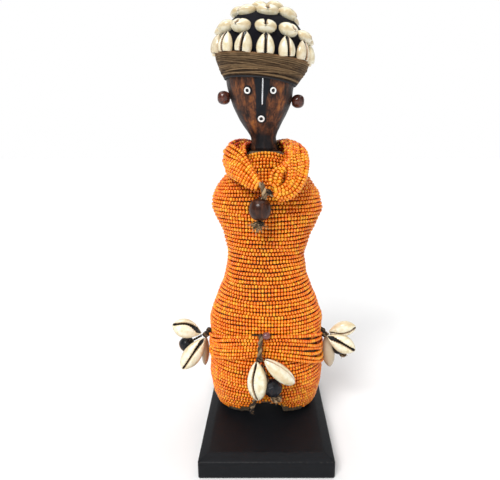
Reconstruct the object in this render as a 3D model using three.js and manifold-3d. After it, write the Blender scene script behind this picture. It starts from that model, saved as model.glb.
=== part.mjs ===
// A beaded doll on a bevelled plinth: a carved wooden figure in a cloth cover wound with seed beads, with a
// necklace, a belt, four hanging bunches and a cap of cowrie shells. Millimetres, Z up, face towards -Y,
// origin in the middle of the plinth's underside.
import * as THREE from 'three';
import { mergeVertices } from 'three/addons/utils/BufferGeometryUtils.js';
import Module from 'manifold-3d';

const wasm = await Module();
wasm.setup();

// ---- driving dimensions -------------------------------------------------------------------------------
const SIDES = 24;
const GAP = 0.3;

const BASE_WIDTH = 78;
const BASE_DEPTH = 104;
const BASE_EDGE_HEIGHT = 10.3;
const BASE_HEIGHT = 12.5;
const BASE_BEVEL = 5.8;

const SOLE = BASE_HEIGHT + GAP;
const NECKLINE = 182;
const CHIN_START = 183;
const BEAD_ROW = 2.2;
const CLOTH = 0.8;

// Height, half-width and half-depth of the beaded body.
const BODY = [
  [SOLE, 31.5, 19],
  [18, 34, 22],
  [26, 36.4, 25.2],
  [38, 38, 27.6],
  [50, 36.9, 28],
  [62, 35.6, 27],
  [76, 35.2, 26],
  [90, 31.8, 24.2],
  [104, 26.7, 22.4],
  [118, 24.4, 21.2],
  [132, 28, 21.6],
  [147, 35.1, 22.6],
  [157, 33.2, 22],
  [165, 27.8, 19.6],
  [174, 19.4, 15.2],
  [NECKLINE, 11.6, 10.6],
];

// Height, half-width, half-depth and rise of the nose ridge of the bare wood: neck, face and the crown
// inside the cap.
const HEAD = [
  [CHIN_START, 9, 8.2, 0],
  [186, 7.8, 7.6, 0],
  [189.5, 7.3, 7.4, 0],
  [193, 9, 8.4, 0],
  [200, 13.2, 11.2, 0.2],
  [207, 16.7, 14, 1.6],
  [214, 18.8, 16, 1.5],
  [218.5, 19.7, 17, 1.2],
  [221, 20.1, 17.5, 0],
  [232, 20.8, 18.1, 0],
  [244, 17.6, 15.2, 0],
  [252, 10, 8.6, 0],
];
const CROWN_TOP = 255;

const BODY_MIDDLE = new THREE.Vector2(-0.3, 6);
const HEAD_MIDDLE = new THREE.Vector2(-3, 5);
const NECK_LEAN = [174, 200];

// The cap, its band and its shells share one frame, which leans to the doll's left and forward.
const HAT_PIVOT = new THREE.Vector3(HEAD_MIDDLE.x, HEAD_MIDDLE.y, 228);
const HAT_LEAN = THREE.MathUtils.degToRad(5.5);
const HAT_NOD = THREE.MathUtils.degToRad(2);
const HAT_FLATNESS = 0.88;
const LEAN_HEIGHTS = [212, 220];

const LEG_GAP_WIDTH = 23;
const LEG_GAP_TOP = 23;
const PEG_RADIUS = 3;
const PEG_BOTTOM = 4;
const PEG_TOP = 30;
const PEG_SPREAD = 19.5;

const BELT_MIDDLE = 67;
const BELT_HALF_HEIGHT = 7.5;
const BELT_SIDE_DROP = 7;
const BELT_SIDE_SPREAD = 0.5;

const COWRIE = { sides: 8, rings: 5 };
const CORD_RADIUS = 0.8;
const CORD_END_RADIUS = 0.9;
const BORE_RADIUS = 1.15;

// ---- materials ----------------------------------------------------------------------------------------
function finish(color, roughness, metalness = 0) {
  return new THREE.MeshStandardMaterial({ color, roughness, metalness });
}

const wood = finish('#5b3320', 0.5);
const beads = finish('#ec7411', 0.3);
const shell = finish('#efe3cb', 0.35);
const twine = finish('#6f5b43', 0.9);
const cloth = finish('#4a3b2c', 0.95);
const blackCloth = finish('#1b1a22', 0.95);
const plinthPaint = finish('#17181b', 0.4);
const darkBead = finish('#3a2117', 0.25);
const earWood = finish('#5d3024', 0.35);
const whiteGlass = finish('#f4f4f0', 0.2);
const blackNail = finish('#0c0c0d', 0.4);
const silver = finish('#c9ccd2', 0.3, 1);
const steel = finish('#6d7075', 0.5, 1);
const pegWood = finish('#b88d5c', 0.7);

// ---- the group and its meshes -------------------------------------------------------------------------
const doll = new THREE.Group();
const hat = new THREE.Group();
hat.position.copy(HAT_PIVOT);
hat.rotation.set(HAT_NOD, HAT_LEAN, 0);
doll.add(hat);

function add(name, geometry, material, parent = doll) {
  const mesh = new THREE.Mesh(geometry, material);
  mesh.name = name;
  parent.add(mesh);
  return mesh;
}

// ---- solids and cuts ----------------------------------------------------------------------------------
function bare(geometry) {
  const copy = geometry.clone();
  copy.deleteAttribute('normal');
  copy.deleteAttribute('uv');
  return mergeVertices(copy, 1e-4);
}

function solidOf(geometry) {
  const merged = bare(geometry);
  return new wasm.Manifold(new wasm.Mesh({
    numProp: 3,
    vertProperties: Float32Array.from(merged.getAttribute('position').array),
    triVerts: Uint32Array.from(merged.index.array),
  }));
}

function geometryOf(solid) {
  const mesh = solid.getMesh();
  const geometry = new THREE.BufferGeometry();
  geometry.setAttribute('position', new THREE.BufferAttribute(mesh.vertProperties, mesh.numProp));
  geometry.setIndex(new THREE.BufferAttribute(mesh.triVerts, 1));
  geometry.computeVertexNormals();
  return geometry;
}

function cut(geometry, ...tools) {
  return geometryOf(tools.reduce((left, tool) => left.subtract(solidOf(tool)), solidOf(geometry)));
}

function joined(geometries) {
  const [first, ...rest] = geometries.map(solidOf);
  return geometryOf(rest.reduce((whole, part) => whole.add(part), first));
}

// ---- shaping ------------------------------------------------------------------------------------------
// A solid of revolution from an outline of [reach, height] pairs, with every point then moved to where
// place(reach, angle, height) says. Angle 0 faces the front and grows towards +X.
function turned(outline, place, sides = SIDES) {
  const points = outline.map(([reach, height]) => new THREE.Vector2(reach, height));
  const geometry = new THREE.LatheGeometry(points, sides);
  const at = geometry.getAttribute('position');
  for (let i = 0; i < at.count; i += 1) {
    const reach = Math.hypot(at.getX(i), at.getZ(i));
    const angle = Math.atan2(at.getX(i), at.getZ(i));
    const point = place(reach, angle, at.getY(i));
    at.setXYZ(i, point.x, point.y, point.z);
  }
  return geometry;
}

function ramp(value, [low, high]) {
  return THREE.MathUtils.clamp((value - low) / (high - low), 0, 1);
}

function sectionAt(table, height) {
  const last = table.length - 1;
  let above = table.findIndex((row) => row[0] >= height);
  above = above < 0 ? last : Math.max(above, 1);
  const low = table[above - 1];
  const high = table[above];
  const share = ramp(height, [low[0], high[0]]);
  return {
    halfWidth: THREE.MathUtils.lerp(low[1], high[1], share),
    halfDepth: THREE.MathUtils.lerp(low[2], high[2], share),
    ridge: THREE.MathUtils.lerp(low[3] ?? 0, high[3] ?? 0, share),
  };
}

function middleAt(height) {
  return BODY_MIDDLE.clone().lerp(HEAD_MIDDLE, ramp(height, NECK_LEAN));
}

// A point on the beaded surface, or lift outside it.
function bodyPoint(angle, height, lift = 0) {
  const { halfWidth, halfDepth } = sectionAt(BODY, height);
  const middle = middleAt(height);
  return new THREE.Vector3(
    middle.x + (halfWidth + lift) * Math.sin(angle),
    middle.y - (halfDepth + lift) * Math.cos(angle),
    height,
  );
}

function hatFramePoint(point, share) {
  const turn = new THREE.Euler(HAT_NOD * share, HAT_LEAN * share, 0);
  return point.sub(HAT_PIVOT).applyEuler(turn).add(HAT_PIVOT);
}

// A point on the bare wood of the neck and head, or lift outside it. The nose is a soft ridge at angle 0.
function headPoint(angle, height, lift = 0) {
  const { halfWidth, halfDepth, ridge } = sectionAt(HEAD, height);
  const middle = middleAt(height);
  const nose = Math.abs(angle) < Math.PI / SIDES ? ridge : 0;
  const point = new THREE.Vector3(
    middle.x + (halfWidth + lift) * Math.sin(angle),
    middle.y - (halfDepth + lift + nose) * Math.cos(angle),
    height,
  );
  return hatFramePoint(point, ramp(height, LEAN_HEIGHTS));
}

function heightsBetween(table, low, high) {
  return [low, ...table.map((row) => row[0]).filter((h) => h > low && h < high), high];
}

// A sleeve round the body between two depths below the bead surface. Reach 20 is that surface.
const SURFACE_REACH = 20;
function sleeve(low, high, outerDepth, innerDepth) {
  const heights = heightsBetween(BODY, low, high);
  const outer = heights.map((h) => [SURFACE_REACH - outerDepth, h]);
  const inner = heights.map((h) => [SURFACE_REACH - innerDepth, h]).reverse();
  const place = (reach, angle, height) => bodyPoint(angle, height, reach - SURFACE_REACH);
  return turned([...outer, ...inner, outer[0]], place);
}

// A solid modelled along Z from 0 to 1 and laid along a curve, with its X towards side.
function bent(outline, curve, sides) {
  const up = new THREE.Vector3(0, 0, 1);
  return turned(outline, (reach, angle, share) => {
    const along = curve.getTangentAt(share);
    const across = new THREE.Vector3().crossVectors(along, up).normalize();
    const under = new THREE.Vector3().crossVectors(along, across);
    return curve.getPointAt(share)
      .addScaledVector(across, reach * Math.sin(angle))
      .addScaledVector(under, reach * -Math.cos(angle));
  }, sides);
}

// A tube of constant radius through points.
function tube(points, radius, steps = 8, sides = 8) {
  const curve = new THREE.CatmullRomCurve3(points.map((p) => new THREE.Vector3(...p)));
  const section = new THREE.Shape();
  section.absarc(0, 0, radius, 0, 2 * Math.PI);
  return new THREE.ExtrudeGeometry(section, { extrudePath: curve, steps, curveSegments: sides });
}

function lump(centre, radii, width = 8, height = 6) {
  return new THREE.SphereGeometry(1, width, height)
    .rotateX(Math.PI / 2)
    .scale(...radii)
    .translate(...centre);
}

// A matrix that takes Z to run along a direction from a place, and -Y to face as near to facing as it can.
function frameAlong(place, along, facing) {
  const z = along.clone().normalize();
  const x = new THREE.Vector3().crossVectors(facing, z).negate().normalize();
  const y = new THREE.Vector3().crossVectors(z, x);
  return new THREE.Matrix4().makeBasis(x, y, z).setPosition(place);
}

// A cowrie lies along Z from 0 to its length, widest past its middle, with its slit towards -Y.
function cowrie({ length, width, front, back }) {
  const outline = [];
  for (let ring = 0; ring <= COWRIE.rings; ring += 1) {
    const share = ring / COWRIE.rings;
    const swell = Math.max(0, Math.sin(Math.PI * share ** 1.25)) ** 0.75;
    outline.push([ring % COWRIE.rings === 0 ? 0 : (width / 2) * swell, share * length]);
  }
  const slitStep = Math.PI / COWRIE.sides;
  return turned(outline, (reach, angle, height) => {
    const facing = Math.cos(angle);
    const bulge = facing > 0 ? front : back;
    const groove = Math.abs(angle) < slitStep ? 0.78 : 1;
    return new THREE.Vector3(
      reach * Math.sin(angle),
      (-reach * facing * bulge * groove) / (width / 2),
      height,
    );
  }, COWRIE.sides);
}

// A round bead with a bore along Z, centred on its own origin.
function boredBead(radius, halfLength, bore = BORE_RADIUS, sides = 12) {
  const rings = 4;
  const outline = [];
  for (let i = 0; i <= rings; i += 1) {
    const share = (2 * i) / rings - 1;
    const reach = bore + (radius - bore) * Math.sqrt(Math.max(0, 1 - (share * 0.94) ** 2));
    outline.push([reach, share * halfLength]);
  }
  outline.push([bore, halfLength], [bore, -halfLength], outline[0]);
  const plain = (reach, angle, height) => new THREE.Vector3(
    reach * Math.sin(angle),
    -reach * Math.cos(angle),
    height,
  );
  return turned(outline, plain, sides);
}

// ---- plinth and pegs ----------------------------------------------------------------------------------
function pegBore(side) {
  const height = PEG_TOP - PEG_BOTTOM + 2 * GAP;
  return new THREE.CylinderGeometry(PEG_RADIUS + GAP, PEG_RADIUS + GAP, height, 12)
    .rotateX(Math.PI / 2)
    .translate(BODY_MIDDLE.x + side * PEG_SPREAD, BODY_MIDDLE.y, (PEG_TOP + PEG_BOTTOM) / 2);
}

function plinth() {
  const block = new THREE.BoxGeometry(BASE_WIDTH, BASE_DEPTH, BASE_HEIGHT, 1, 1, 2);
  const at = block.getAttribute('position');
  for (let i = 0; i < at.count; i += 1) {
    const level = at.getZ(i);
    const top = level > 0.1;
    const inset = top ? BASE_BEVEL : 0;
    const height = level < -0.1 ? 0 : BASE_EDGE_HEIGHT;
    at.setXYZ(
      i,
      at.getX(i) - Math.sign(at.getX(i)) * inset,
      at.getY(i) - Math.sign(at.getY(i)) * inset,
      top ? BASE_HEIGHT : height,
    );
  }
  return block;
}

const bores = [pegBore(-1), pegBore(1)];
add('plinth', cut(plinth(), ...bores), plinthPaint);
for (const [name, side] of [['left_foot_peg', -1], ['right_foot_peg', 1]]) {
  const peg = new THREE.CylinderGeometry(PEG_RADIUS, PEG_RADIUS, PEG_TOP - PEG_BOTTOM, 12)
    .rotateX(Math.PI / 2)
    .translate(BODY_MIDDLE.x + side * PEG_SPREAD, BODY_MIDDLE.y, (PEG_TOP + PEG_BOTTOM) / 2);
  add(name, peg, pegWood);
}

// ---- figure, cloth and bead rows ----------------------------------------------------------------------
// The arch between the feet, cut right through from front to back.
function legGap(extra) {
  const arch = new THREE.Shape();
  const half = LEG_GAP_WIDTH / 2 + extra;
  arch.moveTo(-half, 0);
  arch.lineTo(half, 0);
  arch.absellipse(0, SOLE, half, LEG_GAP_TOP - SOLE + extra, 0, Math.PI);
  return new THREE.ExtrudeGeometry(arch, { depth: 90, bevelEnabled: false, curveSegments: 8 })
    .translate(0, 0, -45)
    .rotateX(Math.PI / 2)
    .translate(BODY_MIDDLE.x, 0, 0);
}

const EAR_HEIGHT = 211.5;
const EAR_LEAN = 0.046;
const EAR_REACH = 22.9;
const EAR_RADIUS = 3.9;
const earPlace = new THREE.Vector3(HEAD_MIDDLE.x - 0.1, 4, EAR_HEIGHT);
const earMatrix = new THREE.Matrix4()
  .makeTranslation(earPlace)
  .multiply(new THREE.Matrix4().makeRotationY(Math.PI / 2 + EAR_LEAN));

function earWire(radius, length) {
  return new THREE.CylinderGeometry(radius, radius, length, 8).rotateX(Math.PI / 2).applyMatrix4(earMatrix);
}

const LINING = BEAD_ROW + CLOTH + 2 * GAP;
function woodPoint(reach, angle, height) {
  const onBody = height <= NECKLINE;
  if (reach > 0) {
    return onBody ? bodyPoint(angle, height, -LINING) : headPoint(angle, height);
  }
  const middle = middleAt(height);
  return hatFramePoint(new THREE.Vector3(middle.x, middle.y, height), ramp(height, LEAN_HEIGHTS));
}

const woodOutline = [[0, SOLE]];
for (const row of [...BODY, ...HEAD]) {
  woodOutline.push([1, row[0]]);
}
woodOutline.push([0, CROWN_TOP]);
const figure = cut(turned(woodOutline, woodPoint), legGap(0), ...bores, earWire(0.9, 60));
add('wood_figure', figure, wood);

const clothDepth = BEAD_ROW + GAP;
add('cloth_cover', cut(sleeve(SOLE, NECKLINE, clothDepth, clothDepth + CLOTH), legGap(0)), cloth);
add('bead_rows_chest', sleeve(118 + GAP / 2, NECKLINE, 0, BEAD_ROW), beads);
add('bead_rows_hips', sleeve(50 + GAP / 2, 118 - GAP / 2, 0, BEAD_ROW), beads);
add('bead_rows_legs', cut(sleeve(18, 50 - GAP / 2, 0, BEAD_ROW), legGap(1.8)), beads);

// ---- belt ---------------------------------------------------------------------------------------------
function belt() {
  const low = BELT_MIDDLE - BELT_HALF_HEIGHT;
  const high = BELT_MIDDLE + BELT_HALF_HEIGHT;
  const near = SURFACE_REACH + GAP + 0.2;
  const far = near + BEAD_ROW;
  const levels = [low, BELT_MIDDLE, high];
  const outline = [...levels.map((h) => [far, h]), ...levels.map((h) => [near, h]).reverse(), [far, low]];
  return turned(outline, (reach, angle, height) => {
    const side = Math.sin(angle) ** 2;
    const offset = (height - BELT_MIDDLE) * (1 + BELT_SIDE_SPREAD * side);
    return bodyPoint(angle, BELT_MIDDLE - BELT_SIDE_DROP * side + offset, reach - SURFACE_REACH);
  });
}
add('bead_belt', belt(), beads);

// ---- necklace -----------------------------------------------------------------------------------------
// One skein, open at the front, where the pendant's knot ties its two ends.
const skeinRoute = new THREE.CatmullRomCurve3([
  [-5.5, -20, 166],
  [-12, -18.5, 167.5],
  [-18.5, -11, 173],
  [-19.5, 0, 180.5],
  [-14, 15, 183],
  [-1, 22, 181],
  [13, 15, 181.5],
  [18.5, 1, 179],
  [19, -10, 171],
  [12, -19, 163.5],
  [3, -20.5, 164],
].map((p) => new THREE.Vector3(...p)));
const skeinOutline = [
  [0, 0], [4.4, 0], [6.4, 0.1], [7, 0.2], [7, 0.3], [6, 0.4], [5.4, 0.5],
  [6, 0.6], [7.2, 0.7], [7.6, 0.8], [7, 0.9], [4.4, 1], [0, 1],
];

function clearanceRound(point, table, low, high) {
  const heights = heightsBetween(table, low, high);
  const outline = [[0, low], ...heights.map((h) => [1, h]), [0, high]];
  return turned(outline, (reach, angle, height) => {
    const middle = middleAt(height);
    return reach > 0 ? point(angle, height, GAP) : new THREE.Vector3(middle.x, middle.y, height);
  });
}
const bodyRoom = clearanceRound(bodyPoint, BODY, 100, NECKLINE + GAP);
const neckRoom = clearanceRound(headPoint, HEAD, NECKLINE - 2, 207);
add('bead_necklace', cut(bent(skeinOutline, skeinRoute, 10), bodyRoom, neckRoom), beads);

// ---- pendant ------------------------------------------------------------------------------------------
const PENDANT_KNOT = [-1.9, -24.6, 160.4];
const PENDANT_BEAD = new THREE.Vector3(-3.6, -24.4, 150.2);
const PENDANT_RADIUS = 6.3;
add('pendant_knot', lump(PENDANT_KNOT, [3, 2.6, 3.4]), twine);
const pendantBead = boredBead(PENDANT_RADIUS, 6.1, BORE_RADIUS, 14);
add('pendant_bead', pendantBead.translate(...PENDANT_BEAD), darkBead);
add('pendant_cord', joined([
  tube([[-3.6, -24.4, 156.6], [-3.6, -24.4, 143.4]], CORD_RADIUS, 1, 6),
  lump([-4.6, -23.4, 140.2], [4.4, 2.8, 3.5]),
]), twine);

// ---- face ---------------------------------------------------------------------------------------------
const EYE_HEIGHT = 214.6;
const EYE_ANGLE = THREE.MathUtils.degToRad(22.3);
const MOUTH_HEIGHT = 199.6;

// The frame of a spot on the face, with Z out of the wood and its origin lift off the surface.
function faceSpot(angle, height, lift) {
  const step = 0.02;
  const place = headPoint(angle, height);
  const sideways = headPoint(angle + step, height).sub(headPoint(angle - step, height));
  const upwards = headPoint(angle, height + 1).sub(headPoint(angle, height - 1));
  const out = new THREE.Vector3().crossVectors(sideways, upwards).normalize();
  place.addScaledVector(out, lift);
  return frameAlong(place, out, new THREE.Vector3(0, 0, -1));
}

function ringBead(radius, bore, thickness) {
  const plain = (reach, angle, height) => new THREE.Vector3(
    reach * Math.sin(angle),
    -reach * Math.cos(angle),
    height,
  );
  const outline = [
    [radius, 0],
    [radius, thickness * 0.6],
    [radius - 0.5, thickness],
    [bore, thickness],
    [bore, 0],
  ];
  return turned([...outline, outline[0]], plain, 10);
}

function faceNail(radius, height) {
  return new THREE.CylinderGeometry(radius, radius * 0.9, height, 8)
    .rotateX(Math.PI / 2)
    .translate(0, 0, height / 2);
}

const faceSpots = [
  ['left_eye', -EYE_ANGLE, EYE_HEIGHT, 2.0],
  ['right_eye', EYE_ANGLE, EYE_HEIGHT, 2.0],
  ['mouth', 0, MOUTH_HEIGHT, 2.2],
];
for (const [name, angle, height, radius] of faceSpots) {
  const spot = faceSpot(angle, height, 0.5);
  add(`${name}_ring`, ringBead(radius, 1, 1.3).applyMatrix4(spot), whiteGlass);
  add(`${name}_nail`, faceNail(0.7, 1).applyMatrix4(spot), blackNail);
}

function noseStrip() {
  const heights = [207.5, 214, 218.5, 220.6];
  const spans = heights.length - 1;
  const strip = new THREE.BoxGeometry(1.2, 0.5, spans, 1, 1, spans);
  const at = strip.getAttribute('position');
  for (let i = 0; i < at.count; i += 1) {
    const height = heights[Math.round(at.getZ(i) + spans / 2)];
    const ridge = headPoint(0, height, GAP + 0.35 - at.getY(i));
    at.setXYZ(i, ridge.x + at.getX(i), ridge.y, ridge.z);
  }
  return strip;
}
add('nose_strip', noseStrip(), silver);

for (const [name, side] of [['left_ear_bead', -1], ['right_ear_bead', 1]]) {
  const bead = boredBead(EAR_RADIUS, EAR_RADIUS * 0.98, BORE_RADIUS, 10);
  add(name, bead.translate(0, 0, side * EAR_REACH).applyMatrix4(earMatrix), earWood);
}
add('ear_wire', earWire(0.55, 2 * EAR_REACH + 2 * EAR_RADIUS - 0.4), steel);

// ---- cap, band and hat shells -------------------------------------------------------------------------
const CAP_CLOTH = 1.1;
const BAND_BOTTOM = -6.4;
const BAND_TOP = 5.8;
const capOutline = new THREE.SplineCurve([
  new THREE.Vector2(25.2, BAND_TOP),
  new THREE.Vector2(25.2, 11),
  new THREE.Vector2(23.4, 18),
  new THREE.Vector2(18.8, 25),
  new THREE.Vector2(11, 30.2),
  new THREE.Vector2(0, 32.4),
]);

function hatPoint(reach, angle, height) {
  return new THREE.Vector3(reach * Math.sin(angle), -reach * HAT_FLATNESS * Math.cos(angle), height);
}

function cap() {
  const outer = [[22.4, 0]];
  const steps = 5;
  for (let i = 0; i <= steps; i += 1) {
    const point = capOutline.getPointAt(i / steps);
    outer.push([point.x, point.y]);
  }
  const shrink = ([reach, height]) => [Math.max(0, reach - CAP_CLOTH), height - (reach < 20 ? CAP_CLOTH : 0)];
  const inner = outer.map(shrink).reverse();
  return turned([...outer, ...inner, outer[0]], hatPoint);
}
add('cap', cap(), blackCloth, hat);

const bandLine = [
  [21.7, BAND_BOTTOM],
  [23.6, -3.2],
  [25.4, 0],
  [26.8, 3],
  [27.5, BAND_TOP],
];
const bandInside = [[25.7, BAND_TOP], [22.9, 0], [20.4, BAND_BOTTOM]];
add('headband', turned([...bandLine, ...bandInside, bandLine[0]], hatPoint), twine, hat);

// The frame of a spot on the cap: Z up along its meridian, -Y out of the cloth, lift off the surface.
function capSpot(share, angle, lift) {
  const step = 0.01;
  const at = (s, a) => {
    const point = capOutline.getPointAt(THREE.MathUtils.clamp(s, 0, 1));
    return hatPoint(point.x, a, point.y);
  };
  const up = at(share + step, angle).sub(at(share - step, angle)).normalize();
  const round = at(share, angle + step).sub(at(share, angle - step)).normalize();
  const out = new THREE.Vector3().crossVectors(round, up).normalize();
  return frameAlong(at(share, angle).addScaledVector(out, lift), up, out);
}

// The wide end of a shell on the cap points down.
function capShell(size, share, angle) {
  return cowrie(size)
    .translate(0, 0, -size.length / 2)
    .rotateY(Math.PI)
    .applyMatrix4(capSpot(share, angle, size.back + GAP));
}

const LOW_SHELL = { length: 10.6, width: 10.2, front: 4.2, back: 0.9 };
const LOW_SHELLS = 14;
const lowShare = 0.152;
for (let i = 0; i < LOW_SHELLS; i += 1) {
  const angle = (2 * Math.PI * i) / LOW_SHELLS;
  const number = String(i + 1).padStart(2, '0');
  add(`cap_shell_${number}`, capShell(LOW_SHELL, lowShare, angle), shell, hat);
}

// The upper rows of shells are strung on a thread each.
function shellString(size, share, count, start) {
  const middle = capSpot(share, 0, 0);
  const reach = Math.abs(middle.elements[13]) / HAT_FLATNESS + 0.4;
  const height = middle.elements[14] + 1.1;
  const half = 0.45;
  const outline = [
    [reach + half, height - half],
    [reach + half, height + half],
    [reach - half, height + half],
    [reach - half, height - half],
  ];
  const thread = turned([...outline, outline[0]], hatPoint, 16);
  const shells = [];
  for (let i = 0; i < count; i += 1) {
    shells.push(capShell(size, share, start + (2 * Math.PI * i) / count));
  }
  return joined([thread, ...shells]);
}
const HIGH_SHELL = { length: 10.4, width: 10.6, front: 4.6, back: 1.2 };
const TOP_SHELL = { length: 9, width: 8.6, front: 4.9, back: 1.5 };
add('cap_shells_second_row', shellString(HIGH_SHELL, 0.45, 11, 0), shell, hat);
add('cap_shells_third_row', shellString({ ...HIGH_SHELL, width: 9.8 }, 0.69, 7, 0.1), shell, hat);
add('cap_shells_top', shellString(TOP_SHELL, 0.91, 3, Math.PI / 3), shell, hat);

// ---- hanging bunches ----------------------------------------------------------------------------------
function hangingShell(root, tip, facing, width, plumpness) {
  const from = new THREE.Vector3(...root);
  const along = new THREE.Vector3(...tip).sub(from);
  const front = 0.3 * width * plumpness;
  const back = 0.4 * width * plumpness;
  const size = { length: along.length(), width, front, back };
  return cowrie(size).applyMatrix4(frameAlong(from, along, new THREE.Vector3(...facing)));
}

// A bead on its cord, with the cord's knotted end past it.
function beadOnCord(prefix, start, centre, radius, knot) {
  const from = new THREE.Vector3(...start);
  const middle = new THREE.Vector3(...centre);
  const along = middle.clone().sub(from).normalize();
  const frame = frameAlong(middle, along, new THREE.Vector3(0, -1, 0));
  const knotPlace = middle.clone().addScaledVector(along, radius + knot);
  const end = knotPlace.clone().addScaledVector(along, -knot / 2);
  add(`${prefix}_bead`, boredBead(radius, radius * 0.92).applyMatrix4(frame), darkBead);
  add(`${prefix}_bead_cord`, joined([
    tube([start, end.toArray()], CORD_RADIUS, 1, 6),
    lump(knotPlace.toArray(), [knot * 1.1, knot, knot]),
  ]), twine);
}

const bunches = {
  front: {
    shells: [
      [[-6.8, -28.6, 58.4], [-6.8, -28.2, 34.4], [-0.3, -1, 0], 12.2],
      [[-0.8, -28.8, 60], [15.8, -27.6, 46.8], [0.45, -0.55, 0.7], 11.4],
    ],
    cord: [[-2.9, -27.4, 57.2], [4.3, -27.2, 41.4], 4.9, 2.6],
  },
  left: {
    knot: [[-41.3, 4, 62.4], [2.5, 2.6, 2.6]],
    shells: [
      [[-44.1, 3.4, 63.6], [-61.6, 1.5, 70.8], [-0.1, -0.75, 0.65], 12.6],
      [[-43, 1.4, 60], [-55.9, -3, 41.4], [0.1, -1, 0], 10.8],
      [[-41.6, 7.4, 59], [-42.4, 8.4, 38], [-1, 0.1, 0], 10.4, 0.6],
    ],
    cord: [[-44.3, 5.4, 61.2], [-54.4, 8.6, 55.4], 4.8, 2],
  },
  right: {
    knot: [[40.8, 3, 64], [2.4, 2.6, 2.6]],
    shells: [
      [[43.6, 2.6, 66.8], [60.4, 1, 69.4], [0.1, -0.35, -0.93], 11.4],
      [[43, 0.8, 62], [58.8, -3, 54.4], [0, -1, 0.15], 10.6],
      [[42.1, 7.4, 60.2], [44.5, 8.6, 36.8], [-0.2, 1, 0], 8.8],
    ],
    cord: [[44.1, 5, 61.6], [51.9, 8.2, 52.6], 4.8, 2],
  },
};

for (const [side, bunch] of Object.entries(bunches)) {
  bunch.shells.forEach(([root, tip, facing, width, plumpness = 1], i) => {
    add(`${side}_shell_${i + 1}`, hangingShell(root, tip, facing, width, plumpness), shell);
  });
  beadOnCord(side, ...bunch.cord);
  if (bunch.knot) {
    add(`${side}_tie`, lump(...bunch.knot), twine);
  }
}

// The front tie crosses the belt and knots below it. A loose end of twine hangs from the first front shell.
add('front_tie', joined([
  tube([[-3.6, -24.4, 75.4], [-4, -25.4, 68], [-4.3, -26, 62]], 1.35, 5),
  lump([-4.2, -26.6, 60.8], [2.4, 2.4, 2.1]),
]), twine);
const cordEnd = [[-7.2, -24.2, 37.2], [-8.2, -23.6, 30], [-9.5, -20.6, 23], [-10.2, -18.9, 18.6]];
add('front_cord_end', tube(cordEnd, CORD_END_RADIUS, 6, 6), twine);

export default doll;
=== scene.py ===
"""The looks of a beaded doll on a bevelled plinth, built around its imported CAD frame.

Lengths are in millimetres and become metres where a mesh is made. +Z is up and the face looks towards -Y.
Left and right are the viewer's.
"""
import math

import bpy
import numpy as np
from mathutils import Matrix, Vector


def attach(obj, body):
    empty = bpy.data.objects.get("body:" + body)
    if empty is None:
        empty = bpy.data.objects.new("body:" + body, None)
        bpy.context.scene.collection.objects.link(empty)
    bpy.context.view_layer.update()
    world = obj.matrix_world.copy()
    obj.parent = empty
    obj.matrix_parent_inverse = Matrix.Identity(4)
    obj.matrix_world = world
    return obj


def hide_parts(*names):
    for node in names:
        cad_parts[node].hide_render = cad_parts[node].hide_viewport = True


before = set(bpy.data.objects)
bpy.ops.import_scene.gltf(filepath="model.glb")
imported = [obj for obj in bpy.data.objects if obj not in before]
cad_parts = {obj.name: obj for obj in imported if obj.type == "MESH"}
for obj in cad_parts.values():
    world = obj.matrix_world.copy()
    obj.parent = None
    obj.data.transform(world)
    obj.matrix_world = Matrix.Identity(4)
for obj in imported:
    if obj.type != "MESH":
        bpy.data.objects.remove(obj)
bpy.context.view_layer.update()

MM = 0.001
ROOT = "doll"
rng = np.random.default_rng(11)

# ---- the doll's measures, as its frame has them but for the hips' width and the chest's sway --------------
BASE_WIDTH, BASE_DEPTH, BASE_EDGE, BASE_HEIGHT, BASE_BEVEL = 78, 104, 10.3, 12.5, 5.8
SOLE = 12.8
NECKLINE = 182
ROW_PITCH = 2.42
BEAD_RADIUS = 1.17
CLOTH_DEPTH = 2.5
CLOTH_THICKNESS = 0.8
WOOD_DEPTH = 3.6
BODY = np.array([
    [SOLE, 31.5, 19], [18, 34, 22], [26, 36.4, 25.2], [38, 38, 27.6], [50, 36.9, 28], [62, 36.3, 27],
    [76, 37.4, 26], [90, 32.4, 24.2], [104, 26.7, 22.4], [118, 24.4, 21.2], [132, 28, 21.6],
    [147, 35.1, 22.6], [157, 33.2, 22], [165, 27.8, 19.6], [174, 19.4, 15.2], [NECKLINE, 11.6, 10.6],
])
HEAD = np.array([
    [183, 9, 8.2, 0], [186, 7.8, 7.6, 0], [189.5, 7.3, 7.4, 0], [193, 9, 8.4, 0], [200, 13.2, 11.2, 0.2],
    [207, 16.7, 14, 1.6], [214, 18.8, 16, 1.5], [218.5, 19.7, 17, 1.2], [221, 20.1, 17.5, 0.8],
    [232, 20.8, 18.1, 0], [244, 17.6, 15.2, 0], [252, 10, 8.6, 0],
])
CROWN_TOP = 255
BODY_MIDDLE = np.array([-0.3, 6.0])
HEAD_MIDDLE = np.array([-3.0, 5.0])
NECK_LEAN = (174, 200)
CHEST_HEIGHT, CHEST_SPREAD = 138, 14
CHEST_SWAY = np.array([1.1, 0.0])
HAT_PIVOT = np.array([-3.0, 5.0, 228.0])
HAT_LEAN = math.radians(5.5)
HAT_NOD = math.radians(2)
HAT_FLATNESS = 0.88
LEAN_HEIGHTS = (212, 220)
LEG_GAP_HALF = 11.5
BELT_HEIGHT, BELT_DROP = 67, 7
LEG_GAP_TOP = 23
FOOT_ROUNDING, FOOT_INSIDE = 5.5, 13.5
EYE_ANGLE = math.radians(22.3) - 0.015
# Eyes and mouth: name, angle round the head, height, then the reach of the ring and of the dark halo round
# it.
FACE_MARKS = [
    ("left_eye", -EYE_ANGLE, 215.0, 1.85, 2.3), ("right_eye", EYE_ANGLE, 215.5, 1.85, 2.3),
    ("mouth", 0.0, 200.3, 2.0, 2.6),
]


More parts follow.
